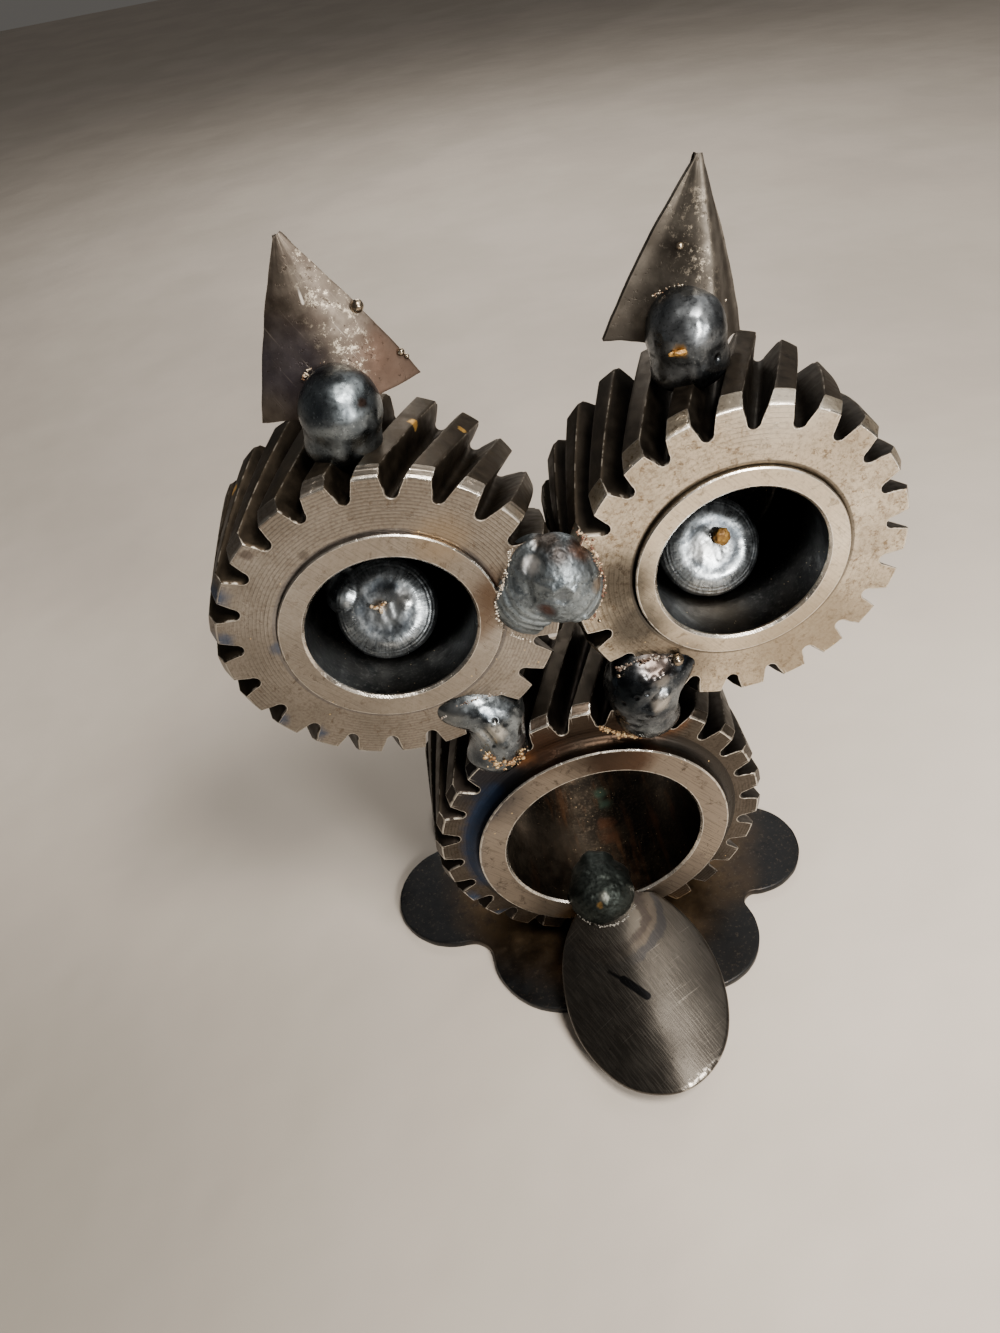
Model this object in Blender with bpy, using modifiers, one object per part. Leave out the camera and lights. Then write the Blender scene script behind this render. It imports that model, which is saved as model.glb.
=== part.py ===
"""Owl welded from scrap steel, about 210 mm tall.

Two helical gears are the eyes and a larger one is the mouth. Thin curved sheets are the ears,
an arched oval plate is the tongue, and a flat plate cut in round lobes is the foot.
Weld nuggets join them. Metres, +Z up, the face looks along -Y, +X is the viewer's right.
The object stands on z = 0, with the middle of its box over the origin.
"""

from math import atan2, cos, pi, radians, sin, sqrt, tan

import bmesh
import bpy
from mathutils import Matrix, Vector

# Clearance that neighbouring pieces keep
GAP = 0.0003

# Teeth, cut alike on all three gears
MODULE = 0.0030
HELIX = radians(22.2)
ADDENDUM = 0.00315
DEDENDUM = 0.0034
TIP_SHARE = 0.42          # tooth's share of the pitch at its tip
FLANK_SHARE = 0.59        # the same half way down
ROOT_SHARE = 0.74         # the same at its root
SLOT_ROUND = 0.0006       # rise of the slot's floor at its corners
EDGE_IN = 0.0016          # how far inside the tip the front chamfer starts
BAR_SPARE = 0.0016        # how far a toothed bar reaches past its blank at either end

# Eye gears
EYE_TEETH = 22
EYE_WIDTH = 0.0355
EYE_BORE_DEPTH = 0.0320
LEFT_HUB_RADIUS = 0.0245
LEFT_HUB_RISE = 0.0010
LEFT_BORE_RADIUS = 0.0188
LEFT_CHAMFER = 0.0025
LEFT_PHASE = radians(20.6)
LEFT_SET_BACK = 0.0020
RIGHT_HUB_RADIUS = 0.0240
RIGHT_HUB_RISE = 0.0011
RIGHT_BORE_RADIUS = 0.0193
RIGHT_CHAMFER = 0.0039
RIGHT_PHASE = radians(12.9)
RIGHT_SET_BACK = 0.0010

# Mouth gear
MOUTH_TEETH = 26
MOUTH_WIDTH = 0.0370
MOUTH_RING_RADIUS = 0.0341
MOUTH_RING_RISE = 0.0044
MOUTH_FILLET = 0.0031
MOUTH_BORE_RADIUS = 0.0265
MOUTH_CHAMFER = 0.0025
MOUTH_BOSS_RADIUS = 0.0330
MOUTH_BOSS_LENGTH = 0.0085
MOUTH_PHASE = radians(9.6)

# How the gears are stacked
LEFT_BRIDGE = 0.0076      # open distance between mouth and left eye
RIGHT_BRIDGE = 0.0056
LEFT_LEAN = radians(26.1)  # left eye's direction from the mouth, from upright

# Foot plate: each lobe's direction in degrees, reach, radius and the radius of the notch after it
PLATE_THICKNESS = 0.0024
PLATE_CENTRE = (0.0012, 0.0343)
LOBES = (
    (39, 0.0441, 0.0186, 0.0050),
    (90, 0.0441, 0.0186, 0.0050),
    (141, 0.0430, 0.0186, 0.0050),
    (187.2, 0.0470, 0.0189, 0.0074),
    (242.3, 0.0369, 0.0212, 0.0050),
    (300.1, 0.0440, 0.0181, 0.0037),
    (346.4, 0.0467, 0.0168, 0.0050),
)

# Ears: half the lower edge, height, sideways lean of the tip, slope of the lower edge, depth of the
# bend, where across the sheet its ridge runs, how sharp that ridge is, fullness of the side edges,
# and the lower edge's place: beside the eye's middle, above its teeth and behind the mouth's ring
EAR_THICKNESS = 0.0015
EAR_BLUNT = 0.035
LEFT_EAR = {"half": 0.0169, "height": 0.0335, "lean": 0.0002, "slope": radians(6.8), "arch": 0.0049,
            "ridge": 0.05, "power": 1, "fullness": 0.20, "side": 0.0004, "rise": 0.0059, "back": 0.0245}
RIGHT_EAR = {"half": 0.0148, "height": 0.0350, "lean": 0.0015, "slope": radians(-8), "arch": 0.0088,
             "ridge": 0.42, "power": 3, "fullness": 0.30, "side": -0.0073, "rise": 0.0041, "back": 0.0282}

# Tongue: an oval bent across its width
TONGUE_THICKNESS = 0.0018
TONGUE_HALF_LENGTH = 0.0287
TONGUE_HALF_WIDTH = 0.0219
TONGUE_REACH = 0.0255     # from the lip to the oval's centre
TONGUE_ARCH = 0.0074      # how far its sides lie below its middle
TONGUE_PITCH = radians(16)
TONGUE_YAW = radians(7.2)
TONGUE_ROLL = radians(6.3)
TONGUE_SIDE = -0.0007
TONGUE_LIFT = 0.0013      # its middle above the bore's lowest line

# Weld nuggets: radii of each, and its place in the front view from the piece it sits on
EAR_WELD_RADIUS = 0.0096
EAR_WELD_SINK = 0.0026    # how deep the lowest point of an ear's dome lies among the teeth
LEFT_EAR_WELD_SIDE = 0.0005
LEFT_EAR_WELD_BACK = 0.0160
RIGHT_EAR_WELD_SIDE = -0.0053
RIGHT_EAR_WELD_BACK = 0.0220
PUPIL_RADIUS = 0.0103
PUPIL_DROP = 0.0103
LEFT_PUPIL_SIDE = -0.0024
RIGHT_PUPIL_SIDE = -0.0012
LEFT_PUPIL_DEPTH = 0.0233
RIGHT_PUPIL_DEPTH = 0.0242
BROW_RADII = (0.0124, 0.0085, 0.0160)
BROW_SHIFT = (-0.0030, 0.0012, 0.0060)
BROW_TILT = radians(-9)
BROW_HOLLOW = 0.0062      # radius of the round hollow under the brow
BROW_HOLLOW_DROP = 0.0140
LEFT_CHEEK_RADII = (0.0096, 0.0088, 0.0136)
LEFT_CHEEK_SHIFT = (-0.0038, 0.0050, 0.0012)
LEFT_CHEEK_TILT = radians(24)
CHEEK_HOLLOW = 0.0046     # radius of the hollow in the left cheek's outer side
CHEEK_HOLLOW_SHIFT = (-0.0118, 0, -0.0051)
RIGHT_CHEEK_RADII = (0.0116, 0.0092, 0.0132)
RIGHT_CHEEK_SHIFT = (-0.0028, 0.0042, 0.0042)
RIGHT_CHEEK_TILT = radians(-12)
TONGUE_WELD_RADII = (0.0104, 0.0120, 0.0088)
TONGUE_WELD_SHIFT = (-0.0028, 0.0002, 0.0034)
BASE_WELD_RADII = (0.0160, 0.0080, 0.0070)
BASE_WELD_BACK = 0.0010

# Fineness of the round shapes
TOOTH_STEPS = 2
ROUND_STEPS = 40
WELD_SEGMENTS = 14
WELD_RINGS = 8
ARC_STEP = radians(20)
EAR_COLUMNS = 8
EAR_ROWS = 4
TONGUE_COLUMNS = 16
TONGUE_END = radians(88)   # where the oval's strips stop, short of a point

STEEL = {
    "eye_steel": ((0.36, 0.33, 0.29), 0.42, 1.0),
    "mouth_steel": ((0.24, 0.22, 0.20), 0.48, 1.0),
    "sheet_steel": ((0.30, 0.27, 0.24), 0.40, 1.0),
    "weld_steel": ((0.22, 0.24, 0.26), 0.30, 1.0),
    "plate_steel": ((0.10, 0.10, 0.11), 0.50, 0.9),
}


def clear_scene():
    for old in list(bpy.data.objects):
        bpy.data.objects.remove(old, do_unlink=True)


def collection(name, hidden=False):
    made = bpy.data.collections.new(name)
    bpy.context.scene.collection.children.link(made)
    made.hide_render = hidden
    return made


def material(name):
    color, roughness, metallic = STEEL[name]
    found = bpy.data.materials.get(name)
    if found:
        return found
    made = bpy.data.materials.new(name)
    made.use_nodes = True
    shader = made.node_tree.nodes["Principled BSDF"]
    shader.inputs["Base Color"].default_value = (*color, 1.0)
    shader.inputs["Roughness"].default_value = roughness
    shader.inputs["Metallic"].default_value = metallic
    made.diffuse_color = (*color, 1.0)
    return made


def object_from(bm, name, group):
    """Turn a bmesh into an object of one group, shaded smooth with its real edges sharp."""
    bmesh.ops.recalc_face_normals(bm, faces=bm.faces)
    mesh = bpy.data.meshes.new(name)
    bm.to_mesh(mesh)
    bm.free()
    mesh.shade_smooth()
    mesh.set_sharp_from_angle(angle=radians(32))
    made = bpy.data.objects.new(name, mesh)
    group.objects.link(made)
    return made


def as_piece(made, parent, finish):
    made.parent = parent
    made.data.materials.append(material(finish))
    return made


def as_cutter(made, parent):
    made.parent = parent
    made.hide_render = True
    made.display_type = "WIRE"
    return made


def boolean(target, operand, operation):
    cut = target.modifiers.new(operation.lower() + " " + operand.name, "BOOLEAN")
    cut.operation = operation
    cut.object = operand
    cut.solver = "EXACT"


def turned(name, profile, closed, group):
    """A body of revolution about its own Z: points are (radius, height), outer side downwards."""
    bm = bmesh.new()
    points = [bm.verts.new((r, 0, z)) for r, z in profile]
    for a, b in zip(points, points[1:]):
        bm.edges.new((a, b))
    if closed:
        bm.edges.new((points[-1], points[0]))
    mesh = bpy.data.meshes.new(name)
    bm.to_mesh(mesh)
    bm.free()
    made = bpy.data.objects.new(name, mesh)
    group.objects.link(made)
    screw = made.modifiers.new("turn", "SCREW")
    screw.axis = "Z"
    screw.angle = 2 * pi
    screw.steps = ROUND_STEPS
    screw.render_steps = ROUND_STEPS
    screw.use_merge_vertices = True
    screw.merge_threshold = 0.00001
    return made


def face_forward(made, place):
    """Lay a body's own Z along the gears' axes: its top looks to the front, along -Y."""
    made.location = place
    made.rotation_euler = (pi / 2, 0, 0)


# Gear sizes that follow from the teeth

def pitch_radius(teeth):
    return teeth * MODULE / cos(HELIX) / 2


def tip_radius(teeth):
    return pitch_radius(teeth) + ADDENDUM


def root_radius(teeth):
    return pitch_radius(teeth) - DEDENDUM


def twist_rate(teeth):
    return tan(HELIX) / pitch_radius(teeth)


# Places of the gears in the front view

def mouth_place():
    return Vector((0, 0, PLATE_THICKNESS + GAP + tip_radius(MOUTH_TEETH)))


def left_eye_place():
    reach = tip_radius(MOUTH_TEETH) + tip_radius(EYE_TEETH) + LEFT_BRIDGE
    place = mouth_place() + reach * Vector((-sin(LEFT_LEAN), 0, cos(LEFT_LEAN)))
    place.y = LEFT_SET_BACK
    return place


def right_eye_place():
    """Where the right eye touches the left one and keeps its own distance to the mouth."""
    to_left = tip_radius(MOUTH_TEETH) + tip_radius(EYE_TEETH) + LEFT_BRIDGE
    to_right = tip_radius(MOUTH_TEETH) + tip_radius(EYE_TEETH) + RIGHT_BRIDGE
    between = 2 * tip_radius(EYE_TEETH) + GAP
    along = (to_left ** 2 + to_right ** 2 - between ** 2) / (2 * to_left)
    across = sqrt(to_right ** 2 - along ** 2)
    place = mouth_place()
    place += along * Vector((-sin(LEFT_LEAN), 0, cos(LEFT_LEAN)))
    place += across * Vector((cos(LEFT_LEAN), 0, sin(LEFT_LEAN)))
    place.y = RIGHT_SET_BACK
    return place


def between_teeth(mouth, eye, bridge):
    """The middle of the open distance between the mouth's teeth and an eye's."""
    way = (eye - mouth).xz.normalized()
    return mouth + (tip_radius(MOUTH_TEETH) + bridge / 2) * Vector((way.x, 0, way.y))


def tooth_outline(teeth, start):
    """The end outline of a gear: seven points a tooth, wide teeth and narrow rounded slots."""
    pitch = 2 * pi / teeth
    root = root_radius(teeth)
    tip = tip_radius(teeth)
    side = [(ROOT_SHARE / 2, root + SLOT_ROUND), (FLANK_SHARE / 2, (root + tip) / 2), (TIP_SHARE / 2, tip)]
    shape = [(-share, radius) for share, radius in side]
    shape += [(share, radius) for share, radius in reversed(side)]
    shape.append((0.5, root))
    points = []
    for tooth in range(teeth):
        for share, radius in shape:
            angle = start + (tooth + share) * pitch
            points.append((radius * cos(angle), radius * sin(angle)))
    return points


def toothed_bar(name, teeth, phase, rise, width, boss, parts):
    """A long helical bar, with its outline turned to the phase at the front of the teeth."""
    length = rise + width + boss + 2 * BAR_SPARE
    rate = twist_rate(teeth)
    start = phase + rate * (rise + BAR_SPARE)
    bm = bmesh.new()
    ring = [bm.verts.new((x, y, BAR_SPARE)) for x, y in tooth_outline(teeth, start)]
    cap = bm.faces.new(ring)
    bmesh.ops.spin(bm, geom=[cap], cent=(0, 0, 0), axis=(0, 0, -1), dvec=(0, 0, -length / TOOTH_STEPS),
                   angle=rate * length, steps=TOOTH_STEPS, use_duplicate=False)
    sides = [face for face in bm.faces if len(face.verts) == 4]
    bmesh.ops.triangulate(bm, faces=sides)
    return object_from(bm, name, parts)


def eye_profile(hub, rise, bore, chamfer):
    """Bore floor, bore wall, hub ring, face, chamfer, tip and back of an eye's blank.

    The chamfer's cone runs on past the tip by as much as it starts inside it, at twice its depth.
    """
    tip = tip_radius(EYE_TEETH)
    rim = tip + EDGE_IN
    back = -rise - EYE_WIDTH
    return [
        (0, -EYE_BORE_DEPTH),
        (bore, -EYE_BORE_DEPTH),
        (bore, 0),
        (hub, 0),
        (hub, -rise),
        (tip - EDGE_IN, -rise),
        (rim, -rise - 2 * chamfer),
        (rim, back),
        (0, back),
    ]


def mouth_profile():
    """A closed ring: through bore, raised front ring with a hollow fillet, and a rear boss."""
    tip = tip_radius(MOUTH_TEETH)
    rim = tip + EDGE_IN
    face = -MOUTH_RING_RISE
    back = face - MOUTH_WIDTH
    end = back - MOUTH_BOSS_LENGTH
    fillet = []
    for turn in (0, pi / 4, pi / 2):
        out = MOUTH_RING_RADIUS + MOUTH_FILLET * (1 - cos(turn))
        fillet.append((out, face + MOUTH_FILLET * (1 - sin(turn))))
    return [
        (MOUTH_BORE_RADIUS, end),
        (MOUTH_BORE_RADIUS, 0),
        (MOUTH_RING_RADIUS, 0),
        *fillet,
        (tip - EDGE_IN, face),
        (rim, face - 2 * MOUTH_CHAMFER),
        (rim, back),
        (MOUTH_BOSS_RADIUS, back),
        (MOUTH_BOSS_RADIUS, end),
    ]


def gear(name, teeth, phase, rise, width, boss, profile, closed, place, finish, owl, parts, cutters):
    bar = toothed_bar(name, teeth, phase, rise, width, boss, parts)
    face_forward(bar, place)
    as_piece(bar, owl, finish)
    blank = turned(name + " blank", profile, closed, cutters)
    face_forward(blank, place)
    as_cutter(blank, owl)
    boolean(bar, blank, "INTERSECT")
    return bar


def envelope(name, place, ring, rise, bore, end, teeth, back, owl, cutters):
    """The space a gear takes up with its clearance, which keeps the welds off its teeth."""
    wide = 1 / cos(pi / ROUND_STEPS)
    outer = (tip_radius(teeth) + GAP) * wide
    raised = (ring + GAP) * wide
    profile = [(raised, GAP), (raised, GAP - rise), (outer, GAP - rise), (outer, back - GAP)]
    if bore:
        boss = (MOUTH_BOSS_RADIUS + GAP) * wide
        profile = [(bore - GAP, end - GAP), (bore - GAP, GAP), *profile]
        profile += [(boss, back - GAP), (boss, end - GAP)]
    else:
        profile = [(0, GAP), *profile, (0, back - GAP)]
    made = turned(name, profile, bool(bore), cutters)
    face_forward(made, place)
    return as_cutter(made, owl)


def bore_plug(name, place, bore, owl, cutters):
    """The inside of an eye's bore, less the clearance."""
    narrow = bore - GAP
    profile = [(0, 0), (narrow, 0), (narrow, GAP - EYE_BORE_DEPTH), (0, GAP - EYE_BORE_DEPTH)]
    made = turned(name, profile, False, cutters)
    face_forward(made, place)
    return as_cutter(made, owl)


def lobed_outline():
    """Round lobes joined by round notches, each notch touching the two lobes beside it."""
    lobes = []
    for direction, reach, radius, notch in LOBES:
        turn = radians(direction)
        centre = Vector(PLATE_CENTRE) + reach * Vector((cos(turn), sin(turn)))
        lobes.append((centre, radius, notch))
    notches = []
    for (a, ra, notch), (b, rb, _) in zip(lobes, lobes[1:] + lobes[:1]):
        apart = (b - a).length
        side_a = ra + notch
        side_b = rb + notch
        along = (side_a ** 2 - side_b ** 2 + apart ** 2) / (2 * apart)
        out = sqrt(side_a ** 2 - along ** 2)
        way = (b - a) / apart
        notches.append(a + along * way + out * Vector((way.y, -way.x)))
    points = []
    for index, (centre, radius, notch) in enumerate(lobes):
        points += arc(centre, radius, notches[index - 1] - centre, notches[index] - centre, 1)
        following = lobes[(index + 1) % len(lobes)][0]
        points += arc(notches[index], notch, centre - notches[index], following - notches[index], -1)[1:-1]
    return points


def arc(centre, radius, start, end, sense):
    """Points from one direction to another round a centre, both ends kept."""
    first = atan2(start.y, start.x)
    sweep = (sense * (atan2(end.y, end.x) - first)) % (2 * pi)
    count = max(2, round(sweep / ARC_STEP))
    turns = [first + sense * sweep * step / count for step in range(count + 1)]
    return [centre + radius * Vector((cos(turn), sin(turn))) for turn in turns]


def base_plate(owl, parts):
    outline = lobed_outline()
    curve = bpy.data.curves.new("base_plate", "CURVE")
    curve.dimensions = "2D"
    curve.fill_mode = "BOTH"
    curve.extrude = PLATE_THICKNESS / 2
    spline = curve.splines.new("POLY")
    spline.points.add(len(outline) - 1)
    for point, place in zip(spline.points, outline):
        point.co = (place.x, place.y, 0, 1)
    spline.use_cyclic_u = True
    plate = bpy.data.objects.new("base_plate", curve)
    parts.objects.link(plate)
    plate.location = (0, 0, PLATE_THICKNESS / 2)
    return as_piece(plate, owl, "plate_steel")


def ear_surface(name, ear, grow, group):
    """A triangular sheet bent about a ridge, its lower edge at z = 0; grow widens its outline."""
    bm = bmesh.new()
    bmesh.ops.create_grid(bm, x_segments=EAR_COLUMNS, y_segments=EAR_ROWS, size=1)
    for vert in bm.verts:
        side = vert.co.x
        up = (vert.co.y + 1) / 2
        narrow = (1 - up) * (1 + ear["fullness"] * up)
        width = ear["half"] * (EAR_BLUNT + (1 - EAR_BLUNT) * narrow) + grow
        reach = 1 + ear["ridge"] if side < ear["ridge"] else 1 - ear["ridge"]
        bow = (1 - ((side - ear["ridge"]) / reach) ** 2) ** ear["power"]
        height = -grow + up * (ear["height"] + 2 * grow)
        vert.co = (ear["lean"] * up + width * side, -ear["arch"] * narrow * bow, height)
    return object_from(bm, name, group)


def ear_sheet(name, ear, eye, grow, group):
    made = ear_surface(name, ear, grow, group)
    made.location = (eye.x + ear["side"], ear["back"], eye.z + tip_radius(EYE_TEETH) + ear["rise"])
    made.rotation_euler = (0, -ear["slope"], 0)
    solid = made.modifiers.new("thickness", "SOLIDIFY")
    solid.thickness = EAR_THICKNESS + 2 * grow
    solid.offset = 0
    return made


def tongue_frame():
    """Directions of the tongue: along its length, across it, and up from it."""
    level = Vector((cos(TONGUE_YAW), sin(TONGUE_YAW), 0))
    ahead = Vector((sin(TONGUE_YAW), -cos(TONGUE_YAW), 0))
    along = ahead * cos(TONGUE_PITCH) - Vector((0, 0, sin(TONGUE_PITCH)))
    across = Matrix.Rotation(TONGUE_ROLL, 3, along) @ level
    return along, across, across.cross(-along)


def tongue_sheet(name, grow, group):
    """An oval plate bent across its width, leaning forward out of the mouth's lower lip."""
    along, across, up = tongue_frame()
    lip = mouth_place() + Vector((TONGUE_SIDE, -GAP, TONGUE_LIFT - MOUTH_BORE_RADIUS))
    bm = bmesh.new()
    bmesh.ops.create_grid(bm, x_segments=TONGUE_COLUMNS, y_segments=1, size=1)
    for vert in bm.verts:
        turn = vert.co.x * TONGUE_END
        side = sin(turn)
        reach = TONGUE_REACH + vert.co.y * (TONGUE_HALF_LENGTH + grow) * cos(turn)
        wide = side * (TONGUE_HALF_WIDTH + grow)
        vert.co = lip + reach * along + wide * across - TONGUE_ARCH * side ** 2 * up
    made = object_from(bm, name, group)
    solid = made.modifiers.new("thickness", "SOLIDIFY")
    solid.thickness = TONGUE_THICKNESS + 2 * grow
    solid.offset = 0
    return made


def nugget(name, radii, place, tilt, owl, parts):
    """A rounded weld nugget before its neighbours are cut out of it."""
    bm = bmesh.new()
    bmesh.ops.create_uvsphere(bm, u_segments=WELD_SEGMENTS, v_segments=WELD_RINGS, radius=1)
    bmesh.ops.scale(bm, vec=radii, verts=bm.verts)
    made = object_from(bm, name, parts)
    made.location = place
    made.rotation_euler = (0, tilt, 0)
    return as_piece(made, owl, "weld_steel")


def box_cutter(name, low, high, owl, cutters):
    bm = bmesh.new()
    bmesh.ops.create_cube(bm, size=1)
    bmesh.ops.scale(bm, vec=Vector(high) - Vector(low), verts=bm.verts)
    made = object_from(bm, name, cutters)
    made.location = (Vector(low) + Vector(high)) / 2
    return as_cutter(made, owl)


def hollow_cutter(name, radius, place, owl, cutters):
    """A round bar along Y that cuts a hollow into a nugget's side."""
    bm = bmesh.new()
    bmesh.ops.create_cone(bm, cap_ends=True, segments=WELD_SEGMENTS, radius1=radius, radius2=radius,
                          depth=2 * EYE_WIDTH)
    made = object_from(bm, name, cutters)
    face_forward(made, place)
    return as_cutter(made, owl)


def stand_on_origin(owl, parts):
    """Move the whole owl so that the middle of its box is over the origin."""
    bpy.context.view_layer.update()
    shapes = bpy.context.evaluated_depsgraph_get()
    corners = []
    for piece in parts.objects:
        if piece.type == "EMPTY":
            continue
        shape = piece.evaluated_get(shapes)
        corners += [shape.matrix_world @ vert.co for vert in shape.to_mesh().vertices]
        shape.to_mesh_clear()
    low = Vector([min(corner[axis] for corner in corners) for axis in range(3)])
    high = Vector([max(corner[axis] for corner in corners) for axis in range(3)])
    owl.location = (-(low.x + high.x) / 2, -(low.y + high.y) / 2, -low.z)


def build():
    clear_scene()
    parts = collection("Scrap steel owl")
    cutters = collection("Cutters", hidden=True)
    owl = bpy.data.objects.new("owl frame", None)
    parts.objects.link(owl)

    mouth = mouth_place()
    left = left_eye_place()
    right = right_eye_place()

    gear("left_eye_gear", EYE_TEETH, LEFT_PHASE, LEFT_HUB_RISE, EYE_WIDTH, 0,
         eye_profile(LEFT_HUB_RADIUS, LEFT_HUB_RISE, LEFT_BORE_RADIUS, LEFT_CHAMFER),
         False, left, "eye_steel", owl, parts, cutters)
    gear("right_eye_gear", EYE_TEETH, RIGHT_PHASE, RIGHT_HUB_RISE, EYE_WIDTH, 0,
         eye_profile(RIGHT_HUB_RADIUS, RIGHT_HUB_RISE, RIGHT_BORE_RADIUS, RIGHT_CHAMFER),
         False, right, "eye_steel", owl, parts, cutters)
    gear("mouth_gear", MOUTH_TEETH, MOUTH_PHASE, MOUTH_RING_RISE, MOUTH_WIDTH, MOUTH_BOSS_LENGTH,
         mouth_profile(), True, mouth, "mouth_steel", owl, parts, cutters)
    base_plate(owl, parts)

    left_space = envelope("left eye space", left, LEFT_HUB_RADIUS, LEFT_HUB_RISE, 0, 0,
                          EYE_TEETH, -LEFT_HUB_RISE - EYE_WIDTH, owl, cutters)
    right_space = envelope("right eye space", right, RIGHT_HUB_RADIUS, RIGHT_HUB_RISE, 0, 0,
                           EYE_TEETH, -RIGHT_HUB_RISE - EYE_WIDTH, owl, cutters)
    mouth_back = -MOUTH_RING_RISE - MOUTH_WIDTH
    mouth_space = envelope("mouth space", mouth, MOUTH_RING_RADIUS, MOUTH_RING_RISE, MOUTH_BORE_RADIUS,
                           mouth_back - MOUTH_BOSS_LENGTH, MOUTH_TEETH, mouth_back, owl, cutters)

    # Ears stand in slots of their weld domes
    for side, ear, eye, space, dome_side, dome_back in (
            ("left", LEFT_EAR, left, left_space, LEFT_EAR_WELD_SIDE, LEFT_EAR_WELD_BACK),
            ("right", RIGHT_EAR, right, right_space, RIGHT_EAR_WELD_SIDE, RIGHT_EAR_WELD_BACK)):
        as_piece(ear_sheet(side + "_ear", ear, eye, 0, parts), owl, "sheet_steel")
        slot = as_cutter(ear_sheet(side + " ear slot", ear, eye, GAP, cutters), owl)
        height = tip_radius(EYE_TEETH) + EAR_WELD_RADIUS - EAR_WELD_SINK
        place = Vector((eye.x + dome_side, dome_back, eye.z + height))
        dome = nugget(side + "_ear_weld", (EAR_WELD_RADIUS,) * 3, place, 0, owl, parts)
        boolean(dome, space, "DIFFERENCE")
        boolean(dome, slot, "DIFFERENCE")

    # Pupils lie in the corner of each bore's wall and floor
    for side, eye, bore, shift, depth in (
            ("left", left, LEFT_BORE_RADIUS, LEFT_PUPIL_SIDE, LEFT_PUPIL_DEPTH),
            ("right", right, RIGHT_BORE_RADIUS, RIGHT_PUPIL_SIDE, RIGHT_PUPIL_DEPTH)):
        plug = bore_plug(side + " bore space", eye, bore, owl, cutters)
        place = eye + Vector((shift, depth, -PUPIL_DROP))
        pupil = nugget(side + "_pupil", (PUPIL_RADIUS,) * 3, place, 0, owl, parts)
        boolean(pupil, plug, "INTERSECT")

    # The brow fills the valley above the eyes' meeting point
    meeting = (left + right) / 2
    brow = nugget("brow_weld", BROW_RADII, meeting + Vector(BROW_SHIFT), BROW_TILT, owl, parts)
    below = meeting - Vector((0, 0, BROW_HOLLOW_DROP))
    hollow = hollow_cutter("brow hollow", BROW_HOLLOW, below, owl, cutters)
    for cutter in (left_space, right_space, hollow):
        boolean(brow, cutter, "DIFFERENCE")

    # The cheeks bridge the open distance between each eye and the mouth
    left_middle = between_teeth(mouth, left, LEFT_BRIDGE)
    cheek = nugget("left_cheek_weld", LEFT_CHEEK_RADII, left_middle + Vector(LEFT_CHEEK_SHIFT),
                   LEFT_CHEEK_TILT, owl, parts)
    beside = left_middle + Vector(CHEEK_HOLLOW_SHIFT)
    hollow = hollow_cutter("cheek hollow", CHEEK_HOLLOW, beside, owl, cutters)
    for cutter in (left_space, mouth_space, hollow):
        boolean(cheek, cutter, "DIFFERENCE")
    right_middle = between_teeth(mouth, right, RIGHT_BRIDGE)
    cheek = nugget("right_cheek_weld", RIGHT_CHEEK_RADII, right_middle + Vector(RIGHT_CHEEK_SHIFT),
                   RIGHT_CHEEK_TILT, owl, parts)
    for cutter in (right_space, mouth_space):
        boolean(cheek, cutter, "DIFFERENCE")

    # The tongue butts against the mouth's ring, under its weld
    tongue = as_piece(tongue_sheet("tongue", 0, parts), owl, "sheet_steel")
    far = 2 * TONGUE_HALF_LENGTH
    behind_ring = box_cutter("ring side", (-far, -GAP, 0), (far, far, 2 * far), owl, cutters)
    boolean(tongue, behind_ring, "DIFFERENCE")
    tongue_slot = as_cutter(tongue_sheet("tongue slot", GAP, cutters), owl)
    lip = mouth - Vector((0, 0, MOUTH_BORE_RADIUS))
    lip_weld = nugget("tongue_weld", TONGUE_WELD_RADII, lip + Vector(TONGUE_WELD_SHIFT), 0, owl, parts)
    boolean(lip_weld, mouth_space, "DIFFERENCE")
    boolean(lip_weld, tongue_slot, "DIFFERENCE")

    # A weld along the back of the mouth gear's foot
    foot = Vector((mouth.x, BASE_WELD_BACK - mouth_back, PLATE_THICKNESS))
    foot_weld = nugget("base_weld", BASE_WELD_RADII, foot, 0, owl, parts)
    under = box_cutter("plate side", (-far, -far, -far), (far, 2 * far, PLATE_THICKNESS + GAP), owl, cutters)
    boolean(foot_weld, under, "DIFFERENCE")
    boolean(foot_weld, mouth_space, "DIFFERENCE")

    stand_on_origin(owl, parts)


build()
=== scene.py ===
"""Looks of the owl welded from scrap steel: gears, welds, ears, tongue and foot plate."""

import random
from math import cos, pi, radians, sin, tan

import bmesh
import bpy
import numpy as np
from mathutils import Matrix, Vector, noise


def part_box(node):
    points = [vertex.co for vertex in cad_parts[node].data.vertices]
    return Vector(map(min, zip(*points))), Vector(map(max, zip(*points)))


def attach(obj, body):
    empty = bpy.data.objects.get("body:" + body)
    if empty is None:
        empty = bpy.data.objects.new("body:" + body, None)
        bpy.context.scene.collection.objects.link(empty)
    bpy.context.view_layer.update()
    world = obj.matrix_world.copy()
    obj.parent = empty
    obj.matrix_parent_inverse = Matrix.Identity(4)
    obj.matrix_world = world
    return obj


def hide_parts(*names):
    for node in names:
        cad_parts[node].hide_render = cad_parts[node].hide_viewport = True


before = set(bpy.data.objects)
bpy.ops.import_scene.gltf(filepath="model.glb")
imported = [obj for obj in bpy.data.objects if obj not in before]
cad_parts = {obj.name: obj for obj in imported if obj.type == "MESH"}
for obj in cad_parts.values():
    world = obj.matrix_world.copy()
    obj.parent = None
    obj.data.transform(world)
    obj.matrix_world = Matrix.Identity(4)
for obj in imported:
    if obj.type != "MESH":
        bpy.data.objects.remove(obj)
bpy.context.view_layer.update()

MM = 0.001

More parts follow.
